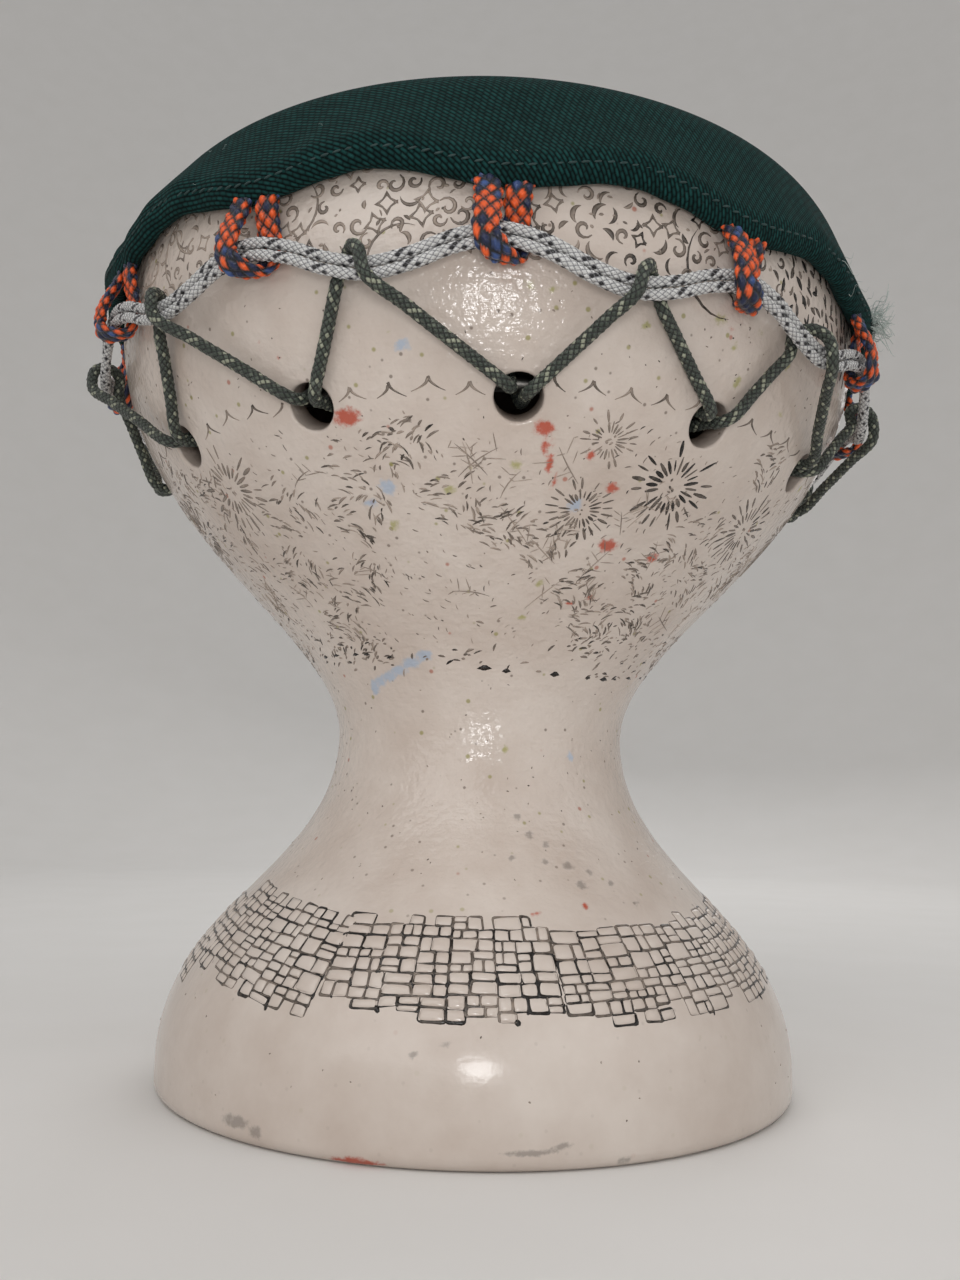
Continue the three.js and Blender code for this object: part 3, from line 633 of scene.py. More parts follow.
# Joints: a rounded square, |cos|^0.28 across and |sin|^0.28 upward
turn = np.linspace(0, 2 * np.pi, 17) + 0.2
round_x = np.sign(np.cos(turn)) * np.abs(np.cos(turn)) ** 0.28
round_y = np.sign(np.sin(turn)) * np.abs(np.sin(turn)) ** 0.28
for patch_angle, patch_tilt, patch_height in zip(patch_angles, patch_tilts, patch_heights):
    blocks = np.array([[-patch_width / 2, patch_width / 2, -patch_half_height, patch_half_height]])
    for _ in range(cut_rounds):
        blocks = cut_blocks(blocks)
    ragged_edge = np.abs(blocks[:, 2:].mean(1)) > ragged_from
    blocks = blocks[~ragged_edge | (chance.random(len(blocks)) < 0.5)]
    count = len(blocks)
    lean = chance.normal(0, 0.035, (4, count, 1))
    ring_x, ring_y = on_blocks(blocks, lean, round_x, round_y)
    swell = (1 + 0.65 * np.sin(turn + chance.uniform(0, 6, (count, 1)))
             + 0.4 * np.sin(3 * turn + chance.uniform(0, 6, (count, 1))))
    breadth = chance.uniform(0.42, 0.8, (count, 1)) * np.clip(swell, 0.2, 2.0)
    stamp(ring_x, ring_y, breadth, patch_angle, patch_height, patch_tilt, chance.uniform(0.45, 1.0, count))
    inner = blocks + joint_half * np.array([1, -1, 1, -1]) * chance.uniform(0.6, 1.6, (count, 1))
    stone_place = pressed(*on_blocks(inner, lean, corner_u, corner_v), patch_angle, patch_height, patch_tilt)
    stone_points.append(on_clay(*stone_place, pillow * chance.uniform(0.34, 0.6, (count, 1)) - stone_sink))
    # Stain caught in the corners between stones
    few = chance.random(count) < corner_share
    t = np.linspace(-1, 1, 5)
    corner_x = blocks[few, 1:2] + 0.6 * t * chance.uniform(-1, 1, (few.sum(), 1))
    corner_y = blocks[few, 2:3] + 1.5 * t * chance.uniform(0.2, 1, (few.sum(), 1))
    stamp(corner_x, corner_y, chance.uniform(0.7, 1.7, (few.sum(), 1)) * taper(5, 0.5), patch_angle,
          patch_height, patch_tilt, np.ones(few.sum()))
press("stone_joints")

# %% Pillows of glaze, each closed by a base
stone_points = np.concatenate(stone_points)
stone_grid = np.arange(stone_rows ** 2).reshape(stone_rows, stone_rows)
stone_base = np.concatenate([stone_grid[0], stone_grid[1:, -1], stone_grid[-1, -2::-1],
                             stone_grid[-2:0:-1, 0]])
stone_start = stone_rows ** 2 * np.arange(len(stone_points))[:, None]
stone_faces = (grid_faces(stone_rows, stone_rows) + stone_start[:, None]).reshape(-1, 4)
stones = make_object("stone_blocks", stone_points, stone_faces, glaze, (stone_base + stone_start).tolist())
settle(stones, "glazed_ceramic")

# %% [markdown]
# ## Lace, tents and rosettes on the bowl
# Under the hem runs a print of lace: curls, hollow-sided squares and sickles. A row of little
# tents rings the bowl at the holes, and below it are rosettes of short rays, twigs and loose dashes.
# All are old pattern-book forms, and a few formulas draw each of them hundreds of times.

# %% Strokes of the lace
def scatter_places(count, low, high):
    """Angles and heights spread evenly at random over a band of the body."""
    return chance.uniform(-180, 180, count), chance.uniform(low, high, count)


def lace_ink(angle):
    """Stain of the lace: faint on the left of the drum and strong on the right, with chance."""
    return 0.4 + 0.32 * np.sin(np.radians(angle + 5)) + chance.uniform(-0.25, 0.25, len(angle))


def curls(angle, height, least, most, breadth):
    """Spirals whose reach grows along little more than one turn, some left-handed and some right-handed."""
    count = len(angle)
    t = np.linspace(0, 1, 13)
    hand = chance.choice([-1, 1], (count, 1))
    swirl = 2 * np.pi * (0.15 + 0.95 * t) * hand + chance.uniform(0, 6.28, (count, 1))
    reach = chance.uniform(least, most, (count, 1)) * (0.25 + 0.75 * t)
    stamp(reach * np.cos(swirl), reach * np.sin(swirl), breadth * taper(13, 0.3), angle, height,
          ink=lace_ink(angle))


def squares(angle, height):
    """Hollow-sided squares: cos^3 across and sin^3 upward."""
    count = len(angle)
    turn = np.linspace(0, 2 * np.pi, 17)
    size = chance.uniform(2.0, 3.4, (count, 1))
    stamp(size * np.cos(turn) ** 3, size * np.sin(turn) ** 3, 0.75 + 0.25 * np.cos(4 * turn), angle, height,
          chance.uniform(-25, 25, count), lace_ink(angle))


def sickles(angle, height, least, most, breadth):
    """Arcs of a circle that are broad in the middle."""
    count = len(angle)
    bow = np.radians(chance.uniform(30, 80, (count, 1))) * np.linspace(-1, 1, 11)
    size = chance.uniform(least, most, (count, 1))
    width = chance.uniform(0.6, 1.0, (count, 1)) * breadth * taper(11, 0.1)
    stamp(size * np.sin(bow), size * np.cos(bow) - 0.7 * size, width, angle, height,
          chance.uniform(-180, 180, count), lace_ink(angle))


def dashes(angle, height, lean, least, most, breadth, ink):
    """Short straight strokes that lean by an angle from level."""
    count = len(angle)
    size = chance.uniform(least, most, (count, 1))
    t = np.linspace(-1, 1, 4)
    width = chance.uniform(0.5, 1, (count, 1)) * breadth * taper(4, 0.3)
    stamp(size * t, 0.15 * size * (1 - t ** 2), width, angle, height, lean, chance.uniform(*ink, count))


print("stain of the lace, left and right:", (0.4 + 0.32 * np.sin(np.radians([-85, 95]))).round(2))

# %% Lace under the hem
lace_columns, lace_rows, lace_low, lace_row_step, lace_lean = 148, 6, 238.5, 5.2, 5
leaf_middle, leaf_reach = 54, 13
lace_angle, lace_height = np.meshgrid(np.arange(lace_columns) * 360 / lace_columns - 180,
                                      lace_low + lace_row_step * np.arange(lace_rows), indexing="ij")
lace_height = lace_height - lace_lean * np.sin(np.radians(lace_angle))
lace_angle = lace_angle + 1.2 * (np.arange(lace_rows) % 2)
lace = chance.permutation(np.stack([lace_angle, lace_height], -1).reshape(-1, 2))
lace = lace + chance.normal(0, 1, lace.shape) * [0.35, 0.7]
leafy = np.abs(lace[:, 0] - leaf_middle) < leaf_reach
leaves, lace = lace[leafy].T, lace[~leafy].T
curls(*lace[:, :370], 1.7, 2.9, 1.15)
squares(*lace[:, 370:510])
sickles(*lace[:, 510:780], 1.8, 3.2, 1.5)
sickles(*lace[:, 780:800], 9.0, 14.0, 1.2)
leaf_count = leaves.shape[1]
for side in (-0.6, 0.6):
    dashes(leaves[0] + side + chance.normal(0, 0.3, leaf_count), leaves[1] + 3 * side,
           chance.normal(-58 + 40 * side, 22, leaf_count), 1.2, 2.3, 2.2, (0.55, 1.0))
lace_dots = 420
angle, height = scatter_places(lace_dots, 237, 266)
dashes(angle, height, chance.uniform(-90, 90, lace_dots), 0.4, 1.1, 1.0, (0.0, 0.6))
print("faces drawn with the lace:", sum(map(len, mark_faces)))

# %% Tents in a row at the holes
tent_step, tent_height = 5.55, 203.2
t = np.linspace(0, 1, 9)
tent_angles = np.arange(-180, 180, tent_step)
count = len(tent_angles)
tent_heights = tent_height + 1.2 * np.sin(np.radians(3 * tent_angles)) + chance.normal(0, 0.5, count)
for hand in (-1, 1):
    spread = hand * chance.uniform(3.6, 5.0, (count, 1)) * t
    drop = chance.uniform(3.0, 4.2, (count, 1)) * (1 - np.sqrt(t))
    stamp(spread, drop, 0.7 * (1 - t) ** 1.5 + 0.2, tent_angles, tent_heights,
          ink=chance.uniform(0.25, 0.7, count))
print("tents:", count)

# %% Rosettes of rays: angle, height, size and stain
rosettes = [(32.5, 186.1, 1.0, 1.0), (17.0, 177.4, 0.7, 0.75), (-49.5, 187.8, 1.0, 0.5),
            (18.5, 194.0, 0.6, 0.5), (58, 182, 0.9, 0.8), (-75, 183, 0.95, 0.7), (-98, 190, 0.8, 0.6),
            (82, 190, 0.9, 0.6), (104, 180, 1.0, 0.9), (128, 188, 0.85, 0.6), (150, 178, 0.95, 0.8),
            (172, 187, 0.9, 0.6), (-158, 180, 1.0, 0.9), (-135, 188, 0.85, 0.7), (-117, 178, 0.7, 0.6)]
ray_rings = ((4.2, 9.4, 0.9), (9.4, 15.0, 0.75))
rays = np.arange(0, 360, 15.0)
dot_count = 5
for angle, height, size, ink in rosettes:
    for near, far, share in ray_rings:
        kept = rays[chance.random(len(rays)) < share] + chance.normal(0, 2.5)
        count = len(kept)
        half = (far - near) / 2 * chance.uniform(0.6, 1.1, (count, 1))
        ray = ((near + far) / 2 + chance.normal(0, 0.3, (count, 1)) + half * np.linspace(-1, 1, 5)) * size
        stamp(ray * np.cos(np.radians(kept))[:, None], ray * np.sin(np.radians(kept))[:, None],
              size * chance.uniform(0.6, 1.4, (count, 1)) * taper(5, 0.45), angle, height,
              ink=ink * chance.uniform(0.6, 1.0, count))
    dashes(angle + chance.normal(0, 0.7, dot_count), height + chance.normal(0, 1, dot_count),
           chance.uniform(-90, 90, dot_count), 0.3, 0.7, 1.0, (0.3 * ink, ink))
print("rosettes:", len(rosettes))

# %% Feathered fans of dashes: angle, height and size
fans = [(-19.5, 186, 12.5), (-24, 175, 9), (-5, 178, 10), (3, 172, 8), (12, 169, 9), (-38, 180, 12),
        (-60, 175, 12), (45, 175, 11), (38, 165, 9), (70, 172, 11), (95, 195, 10), (118, 172, 12),
        (140, 196, 10), (162, 168, 11), (-170, 196, 10), (-146, 170, 12), (-125, 200, 9), (-105, 175, 12),
        (-85, 200, 9), (-68, 195, 10), (22, 158, 8), (-30, 160, 10), (52, 198, 8), (30, 150, 8), (44, 154, 9),
        (56, 165, 10), (-46, 164, 10), (-57, 190, 9), (-40, 150, 8), (-12, 192, 8)]
fan_dashes = 46
for angle, height, size in fans:
    turn = chance.uniform(0, 360, fan_dashes)
    reach = size * np.sqrt(chance.uniform(0.05, 1, fan_dashes))
    across = np.degrees(reach * np.cos(np.radians(turn)) / radius_at(height))
    rise = reach * np.sin(np.radians(turn)) / np.hypot(1, radius_at(height + 0.5) - radius_at(height - 0.5))
    dashes(angle + across, height + rise, 60 - turn * 0.4 + chance.normal(0, 14, fan_dashes), 0.7, 2.1, 0.85,
           (0.0, 0.78))
print("fans:", len(fans))

# %% Twigs and loose dashes
twig_count = 46
twig_angle, twig_height = scatter_places(twig_count, 150, 186)
t = np.linspace(0, 1, 7)
bend = chance.uniform(-4, 4, (twig_count, 1)) * t ** 2
stem = chance.uniform(7, 15, (twig_count, 1)) * t
twig_tilt = chance.uniform(-80, 80, twig_count)
stamp(bend, stem, 0.42 * taper(7, 0.3), twig_angle, twig_height, twig_tilt,
      chance.uniform(0.0, 0.45, twig_count))
for share in (0.35, 0.6, 0.85):
    for hand in (-1, 1):
        side = chance.uniform(1.5, 5.0, (twig_count, 1)) * t
        stamp(bend[:, -1:] * share ** 2 + hand * side,
              stem[:, -1:] * share + chance.uniform(0.2, 1, (twig_count, 1)) * side,
              0.36 * taper(7, 0.2), twig_angle + chance.normal(0, 0.8, twig_count), twig_height, twig_tilt,
              chance.uniform(-0.1, 0.4, twig_count))
# Number, lowest and highest place, spread of the lean, size and stain of the dashes in each band
loose_bands = ((1500, 142, 199, 40, 1.0, (0.0, 0.8)), (200, 206, 230, 90, 0.45, (0.2, 0.8)),
               (200, 66, 132, 90, 0.4, (0.1, 0.7)), (60, 8, 34, 90, 0.4, (0.0, 0.6)))
for count, low, high, spread, size, ink in loose_bands:
    angle, height = scatter_places(count, low, high)
    dashes(angle, height, np.where(angle < 0, 125, 55) + chance.uniform(-spread, spread, count), 0.2,
           1.1 * size, 0.5, ink)
print("faces drawn with the twigs:", sum(map(len, mark_faces)))

# %% Ring of nicks above the waist
nick_count, wedge_step, heap_count = 230, 7.5, 34
nick_height, wedge_height = 137.4, 137.0


def nick_level(angle):
    """Wave of the ring about its middle height, with two crests round the drum."""
    return 3.7 * np.sin(np.radians(2 * angle + 216))


ring_angles = chance.uniform(-180, 180, nick_count)
gather = 0.5 + 0.5 * np.sin(np.radians(6 * ring_angles + 100))
ring_heights = (nick_height + nick_level(ring_angles)
                + np.abs(chance.normal(0, 1, nick_count)) * (0.4 + 4.5 * gather ** 2))
kept = chance.random(nick_count) < 0.12 + 0.88 * gather
ring_angles, ring_heights, count = ring_angles[kept], ring_heights[kept], kept.sum()
dashes(ring_angles, ring_heights, chance.uniform(-20, 75, count), 0.5, 1.5, 1.0, (0.1, 0.95))
t = np.linspace(-1, 1, 6)
wedge_angles = np.arange(-180, 180, wedge_step)
wedge_angles = wedge_angles + chance.normal(0, 1.6, len(wedge_angles))
wedge_angles = wedge_angles[chance.random(len(wedge_angles)) < 0.7]
count = len(wedge_angles)
wedge_heights = wedge_height + nick_level(wedge_angles) + chance.normal(0, 0.35, count)
stamp(chance.uniform(0.7, 2.4, (count, 1)) * t, 0.3 * (1 - t ** 2) + 0 * wedge_angles[:, None],
      chance.uniform(0.7, 2.2, (count, 1)) * (1.05 - np.abs(t)), wedge_angles, wedge_heights, 0.0,
      np.ones(count))
heaps = [(-50, 142, 13), (-34, 141, 8), (34, 143, 9), (52, 148, 14), (78, 146, 12), (112, 144, 12),
         (146, 142, 11), (178, 146, 13), (-150, 143, 11), (-116, 145, 13), (-84, 143, 12)]
for angle, height, spread in heaps:
    dashes(angle + chance.normal(0, spread / 2, heap_count), height + chance.normal(0, 2.6, heap_count),
           chance.uniform(-30, 80, heap_count), 0.4, 1.5, 1.0, (0.1, 0.85))
press("bowl_marks")

# %% [markdown]
# ## The cloth head
# One piece of dark green twill is drawn over the rim, and its edge is rolled round a cord and sewn
# down. The sheet is a grid of angle by length: over the top, down the shoulder and round the roll. Its
# flat place, before it was stretched, is kept as a UV map so that the weave runs on unbroken.

# %% Way of the cloth over the rim
tie_angles = 1.3 + station_step * np.arange(station_count)
cloth_thick, seat_gap = 1.4, 0.4
hem_half_depth, hem_half_height = 3.4, 5.5
hem_radius = belly_radius + seat_gap + hem_half_depth
hem_middle, hem_scallop, hem_lean = 262, 5, 6
top_rows, shoulder_rows, fall_rows, roll_rows, seat_rows = 41, 18, 16, 40, 300
roll_end = np.radians(-245)
first_ring, top_dip = 3.0, 0.5


def hem_level(angle):
    """Height of the middle of the hem: lower at each tie, and leaning down to the right."""
    wave = 0.5 + 0.5 * np.cos(station_count * np.radians(angle - tie_angles[0]))
    return hem_middle - hem_scallop * wave - hem_lean * np.sin(np.radians(angle))


def roll_point(turn, level):
    """Radius and height on the oval roll of the hem."""
    return np.stack([hem_radius + hem_half_depth * np.cos(turn), level + hem_half_height * np.sin(turn)], -1)


def cloth_line(angle):
    """Radius and height along the cloth: flat top, over the rim, a straight taut fall and the rolled hem.

    The fall touches both the shoulder and the roll, so it is the line from the roll that leans out most.
    """
    level = hem_level(angle)[:, None]
    lengths = np.linspace(outline_length[-1], length_at(hem_middle), seat_rows)
    lift = seat_gap + cloth_thick
    seat = np.stack([np.interp(lengths, outline_length, outline[:, k])
                     + lift * np.interp(lengths, outline_length, outline_out[:, k]) for k in (0, 1)], -1)
    leave = np.full((len(angle), 1), np.radians(40))
    for _ in range(4):
        start = roll_point(leave, level)
        way = seat[None] - start
        lean = np.where(way[..., 1] > 2, np.arctan2(way[..., 0], way[..., 1]), -9)
        touch = lean.argmax(1)
        leave = np.arctan(-hem_half_height / hem_half_depth * np.tan(lean.max(1)))[:, None]
    top = np.linspace(first_ring, rim_radius, top_rows + 1)[:-1]
    flat = np.stack([top, rim_height + seat_gap + cloth_thick - top_dip * (1 - (top / rim_radius) ** 4)], -1)
    shoulder = np.linspace(0, 1, shoulder_rows) * touch[:, None]
    shoulder = np.stack([np.interp(shoulder, np.arange(seat_rows), seat[:, k]) for k in (0, 1)], -1)
    part = np.linspace(0, 1, fall_rows + 2)[1:-1, None]
    fall = seat[touch][:, None] * (1 - part) + start * part
    roll = roll_point(leave + (roll_end - leave) * np.linspace(0, 1, roll_rows), level)
    return np.concatenate([np.broadcast_to(flat, (len(angle), *flat.shape)), shoulder, fall, roll], 1)


cloth_angle = np.linspace(0, 360, 420, endpoint=False)
cloth = cloth_line(cloth_angle)
cloth_steps = np.hypot(*np.moveaxis(np.diff(cloth, axis=1), -1, 0))
cloth_length = np.concatenate([cloth[:, :1, 0], cloth[:, :1, 0] + np.cumsum(cloth_steps, 1)], 1)
print("flat radius of the cloth in mm:", cloth_length.mean(0)[-1].round(1))

# %% Twill head
# Soft puckers towards the hem, from the pull of the ties and from the sewing
pull = np.concatenate([np.zeros(top_rows + shoulder_rows), np.linspace(0, 1, fall_rows), np.ones(roll_rows)])
turn = np.radians(cloth_angle)[:, None]
pucker = (0.2 * np.sin(60 * turn + 2 * np.sin(5 * turn)) + 0.18 * np.sin(37 * turn + cloth_length / 7)
          + 0.2 * np.sin(12 * turn - 1))
cloth_points = hang(cloth_angle[:, None], cloth[..., 0] + pull * pucker, cloth[..., 1])
cloth_faces = grid_faces(*cloth.shape[:2], join_rows=True)[:, ::-1]
middle_cap = list(range(0, cloth[..., 0].size, cloth.shape[1]))


def corner_points(made):
    """Number of the point at each corner of each face."""
    numbers = np.empty(len(made.data.loops), np.int32)
    made.data.loops.foreach_get("vertex_index", numbers)
    return numbers


def add_uv(made, values):
    """Stores a flat place for each corner of each face."""
    made.data.uv_layers.new(name="weave").data.foreach_set("uv", values.astype(np.float32).ravel())


twill, twill_tree, twill_shader = new_finish("dark green cotton twill")
head = make_object("twill_head", cloth_points, cloth_faces, twill, [middle_cap])
flat_place = hang(cloth_angle[:, None], cloth_length, 0.0)[..., :2] / 1000
add_uv(head, flat_place.reshape(-1, 2)[corner_points(head)])
thick = head.modifiers.new("cloth", "SOLIDIFY")
thick.thickness = 0.0011
thick.offset = -1
settle(head, "green_twill", "cloth_head")

# %% [markdown]
# ## The weave
# Twill has slanting ribs, and each rib is a row of short floats of yarn. Along the flat cloth, one
# coordinate counts the ribs and the other counts the floats in a rib. The crown of each float is
# painted lighter as a painted highlight, and the furrows between the ribs are painted nearly black as
# painted shade. The ribs are drawn 1.3 mm apart, a little coarser than on real cloth, so that they show.

# %% Ribs and floats of the twill
rib_spacing, float_length, float_shift = 1.3, 2.6, 0.37
flat = add(twill_tree, "SeparateXYZ", {0: add(twill_tree, "UVMap", uv_map="weave")})
drift = add(twill_tree, "TexNoise", {"Vector": add(twill_tree, "UVMap", uv_map="weave"), "Scale": per(9),
                                     "Detail": 2.0})
slant = add(twill_tree, "Math", {0: flat.outputs[0], 1: flat.outputs[1]}, operation="ADD")
ribs = add(twill_tree, "Math", {0: slant, 1: per(rib_spacing) / np.sqrt(2)}, operation="MULTIPLY")
ribs = add(twill_tree, "Math", {0: drift, 1: 0.9, 2: ribs}, operation="MULTIPLY_ADD")
along_rib = add(twill_tree, "Math", {0: flat.outputs[0], 1: flat.outputs[1]}, operation="SUBTRACT")
rows = add(twill_tree, "Math", {0: along_rib, 1: per(float_length) / np.sqrt(2)}, operation="MULTIPLY")
rib_number = add(twill_tree, "Math", {0: ribs}, operation="FLOOR")
rows = add(twill_tree, "Math", {0: rib_number, 1: float_shift, 2: rows}, operation="MULTIPLY_ADD")
crowns = []
for count, power in ((ribs, 1.4), (rows, 0.45)):
    within = add(twill_tree, "Math", {0: count}, operation="FRACT")
    half_turn = add(twill_tree, "Math", {0: within, 1: np.pi}, operation="MULTIPLY")
    wave = add(twill_tree, "Math", {0: half_turn}, operation="SINE")
    crowns.append(add(twill_tree, "Math", {0: wave, 1: power}, operation="POWER"))
crown = add(twill_tree, "Math", {0: crowns[0], 1: crowns[1]}, operation="MULTIPLY")
print("nodes for the ribs:", len(twill_tree.nodes))

# %% Green twill finish
# Dyed cotton: matt, with a faint sheen of fibre ends, and no two floats quite alike
row_number = add(twill_tree, "Math", {0: rows}, operation="FLOOR")
float_number = add(twill_tree, "CombineXYZ", {0: rib_number, 1: row_number})
yarn = add(twill_tree, "TexWhiteNoise", {"Vector": float_number}, noise_dimensions="2D")
yarn_shade = add(twill_tree, "Math", {0: yarn, 1: 0.45, 2: 0.55}, operation="MULTIPLY_ADD")
# Painted highlight on the crowns of the floats and painted shade in the furrows, times each float's own tone
yarn_tone_and_painted_crown_light = add(twill_tree, "Math", {0: yarn_shade, 1: crown}, operation="MULTIPLY")
green = add(twill_tree, "Mix", {0: yarn_tone_and_painted_crown_light, 6: linear("020607"), 7: linear("1d4a48")},
            data_type="RGBA").outputs[2]
lint = add(twill_tree, "TexNoise", {"Vector": add(twill_tree, "TexCoord").outputs["Object"],
                                    "Scale": per(0.8), "Detail": 5.0, "Roughness": 0.8})
fuzz = add(twill_tree, "MapRange", {"Value": lint, "From Min": 0.6, "From Max": 0.8, "To Max": 0.2})
green = add(twill_tree, "Mix", {0: fuzz, 6: green, 7: linear("7d9a94")}, data_type="RGBA").outputs[2]
twill_tree.links.new(green, twill_shader.inputs["Base Color"])
twill_shader.inputs["Roughness"].default_value = 0.9
twill_shader.inputs["Specular IOR Level"].default_value = 0.1
twill_shader.inputs["Sheen Weight"].default_value = 0.04
twill_shader.inputs["Sheen Roughness"].default_value = 0.5
twill_shader.inputs["Sheen Tint"].default_value = linear("9fc0b8")
ridge = add(twill_tree, "Bump", {"Height": crown, "Strength": 0.8, "Distance": 0.0003})
twill_tree.links.new(ridge.outputs[0], twill_shader.inputs["Normal"])
print("twill nodes:", len(twill_tree.nodes))

# %% [markdown]
# ## Stitches and loose threads
# The roll is held by a line of green stitches, each a short pillow of thread. At the right side the
# cut edge of the cloth has frayed into a tuft of pale fibres. Both are repeated small shapes, so one
# grid per stitch or fibre is enough.

# %% Stitches along the hem
stitch_count, stitch_half, stitch_thick, stitch_drop = 250, 1.25, 0.34, 1.2
stitch_angle = np.linspace(0, 360, stitch_count, endpoint=False)[:, None, None]
along = np.linspace(-1, 1, 7)[:, None]
around = np.linspace(0, 2 * np.pi, 6, endpoint=False)
girth = stitch_thick * np.sqrt(np.clip(1 - along ** 2, 0.0004, 1))
stitch_r = hem_radius + 0.98 * hem_half_depth + 0.05 + girth * np.cos(around)
stitch_z = hem_level(stitch_angle) - stitch_drop + girth * np.sin(around) + 0.25 * along
stitch_points = hang(stitch_angle + np.degrees(stitch_half * along / hem_radius), stitch_r, stitch_z)
# Spun cotton thread: a soft gleam, and patches of painted shade where the plies part
thread, thread_tree, thread_shader = new_finish("green sewing thread")
painted_ply_shade = add(thread_tree, "TexNoise", {"Vector": add(thread_tree, "TexCoord").outputs["Object"],
                                    "Scale": per(0.7), "Detail": 2.0})
sewn = add(thread_tree, "Mix", {0: painted_ply_shade, 6: linear("0b1c1d"), 7: linear("274947")}, data_type="RGBA")
thread_tree.links.new(sewn.outputs[2], thread_shader.inputs["Base Color"])
thread_shader.inputs["Roughness"].default_value = 0.55
stitches = make_tubes("hem_stitches", stitch_points, thread)
settle(stitches, "green_twill")

# %% Ways of the frayed fibres
# Three kinds: the tuft, loose ends about it, and short strays all round the hem
fibre_kind = np.repeat([0, 1, 2], [70, 20, 60])
fibre_count = len(fibre_kind)
kind_long, kind_thick = np.array([10.5, 6.5, 1.8]), np.array([0.19, 0.12, 0.05])
all_round = chance.uniform(-180, 180, fibre_count)
at_tuft = chance.normal([68, 62, 0], [1.3, 6, 1], (fibre_count, 3))[np.arange(fibre_count), fibre_kind]
fibre_angle = np.where(fibre_kind == 2, all_round, at_tuft)[:, None]
fibre_rise = np.where(fibre_kind == 0, chance.normal(0, 1.8, fibre_count),
                      chance.uniform(-4, 22, fibre_count))[:, None]
fibre_long = (kind_long[fibre_kind] * chance.uniform(0.5, 1.4, fibre_count))[:, None]
fibre_thick = kind_thick[fibre_kind][:, None, None, None]
t = np.linspace(0, 1, 10)
wave = [chance.normal(0, 1, (fibre_count, 1)) for _ in range(4)]
# Radius of the cloth at heights above the middle of the hem; a fibre starts a little inside it
cloth_rises, cloth_radii, fibre_root = [-5, 0, 4, 22], [135.8, 138.2, 137.0, 127.0], 0.3
mean_radius = 139
start_z = hem_level(fibre_angle) + fibre_rise
start_r = np.interp(fibre_rise, cloth_rises, cloth_radii) - fibre_root
fibre_r = start_r + fibre_long * t * 0.55
fibre_z = start_z + fibre_long * (0.35 * wave[0] * t + 0.12 * wave[1] * np.sin(6 * t))
fibre_side = fibre_long * (0.45 * wave[2] * t + 0.12 * wave[3] * np.sin(7 * t))
fibre_line = hang(fibre_angle + np.degrees(fibre_side / mean_radius), fibre_r, fibre_z)
print("fibres:", fibre_count)

# %% Frayed tuft and stray fibres
around = np.radians([0, 120, 240])
thin = fibre_thick * (1 - 0.6 * t)[None, :, None, None]
ring = np.stack([np.cos(around) * 0.7, np.cos(around) * -0.7, np.sin(around)], -1)
fibre_points = fibre_line[:, :, None] + thin * ring
# Raw cotton: pale and matt, with slow changes of shade
lint_finish, lint_tree, lint_shader = new_finish("pale frayed cotton")
shade = add(lint_tree, "TexNoise", {"Vector": add(lint_tree, "TexCoord").outputs["Object"], "Scale": per(3)})
pale = add(lint_tree, "Mix", {0: shade, 6: linear("9db0a9"), 7: linear("dfe6e2")}, data_type="RGBA")
lint_tree.links.new(pale.outputs[2], lint_shader.inputs["Base Color"])
lint_shader.inputs["Roughness"].default_value = 0.9
fibres = make_tubes("frayed_threads", fibre_points, lint_finish)
settle(fibres, "green_twill")

# %% [markdown]
# ## Cords
# All three cords are braids, and each keeps to the route of its CAD node. A route is a list of
# points, and a smooth curve goes through them. An oval or a circle is carried along the curve, and the
# braid lifts its surface in diamond-shaped pillows where two sets of strands cross.

# %% Routes
def smooth_route(points, spacing, closed):
    """Hermite curve through the points, with the slope at each from its neighbours, at even lengths."""
    if closed:
        points = np.concatenate([points[-2:], points, points[:3]])
    knots = np.concatenate([[0], np.cumsum(np.linalg.norm(np.diff(points[:, :3], axis=0), axis=1) ** 0.6)])
    gap = np.diff(knots)[:, None]
    rate = np.diff(points, axis=0) / gap
    inner = (rate[:-1] * gap[1:] + rate[1:] * gap[:-1]) / (gap[1:] + gap[:-1])
    slope = np.concatenate([rate[:1], inner, rate[-1:]])
    t = np.linspace(0, 1, 16, endpoint=False)[None, :, None]
    a, b, c, d = points[:-1, None], points[1:, None], (slope[:-1] * gap)[:, None], (slope[1:] * gap)[:, None]
    curve = ((2 * t ** 3 - 3 * t ** 2 + 1) * a + (t ** 3 - 2 * t ** 2 + t) * c
             + (3 * t ** 2 - 2 * t ** 3) * b + (t ** 3 - t ** 2) * d)
    if closed:
        curve = np.concatenate([curve[2:-2].reshape(-1, points.shape[1]), curve[-2, :1]])
    else:
        curve = np.concatenate([curve.reshape(-1, points.shape[1]), points[-1:]])
    run = np.concatenate([[0], np.cumsum(np.linalg.norm(np.diff(curve[:, :3], axis=0), axis=1))])
    count = int(run[-1] / spacing)
    even = np.linspace(0, run[-1], count + 1)[:count if closed else count + 1]
    return np.stack([np.interp(even, run, column) for column in curve.T], 1), even, run[-1]


def unit(vectors):
    """Vectors of length one."""
    return vectors / np.linalg.norm(vectors, axis=-1, keepdims=True)


hexagon = hang(60.0 * np.arange(6), 100.0, 0.0)
print("length of a smooth route round a hexagon of 100 mm:", smooth_route(hexagon, 1.0, True)[2].round())


# %% Braided tubes
def braid_crown(along, around, count, lead):
    """|sin(pi n (v + u))| |sin(pi n (v - u))| with u the turns along and v the turns around."""
    u, v = along[:, None] / lead, around[None, :]
    return np.abs(np.sin(np.pi * count * (v + u)) * np.sin(np.pi * count * (v - u)))


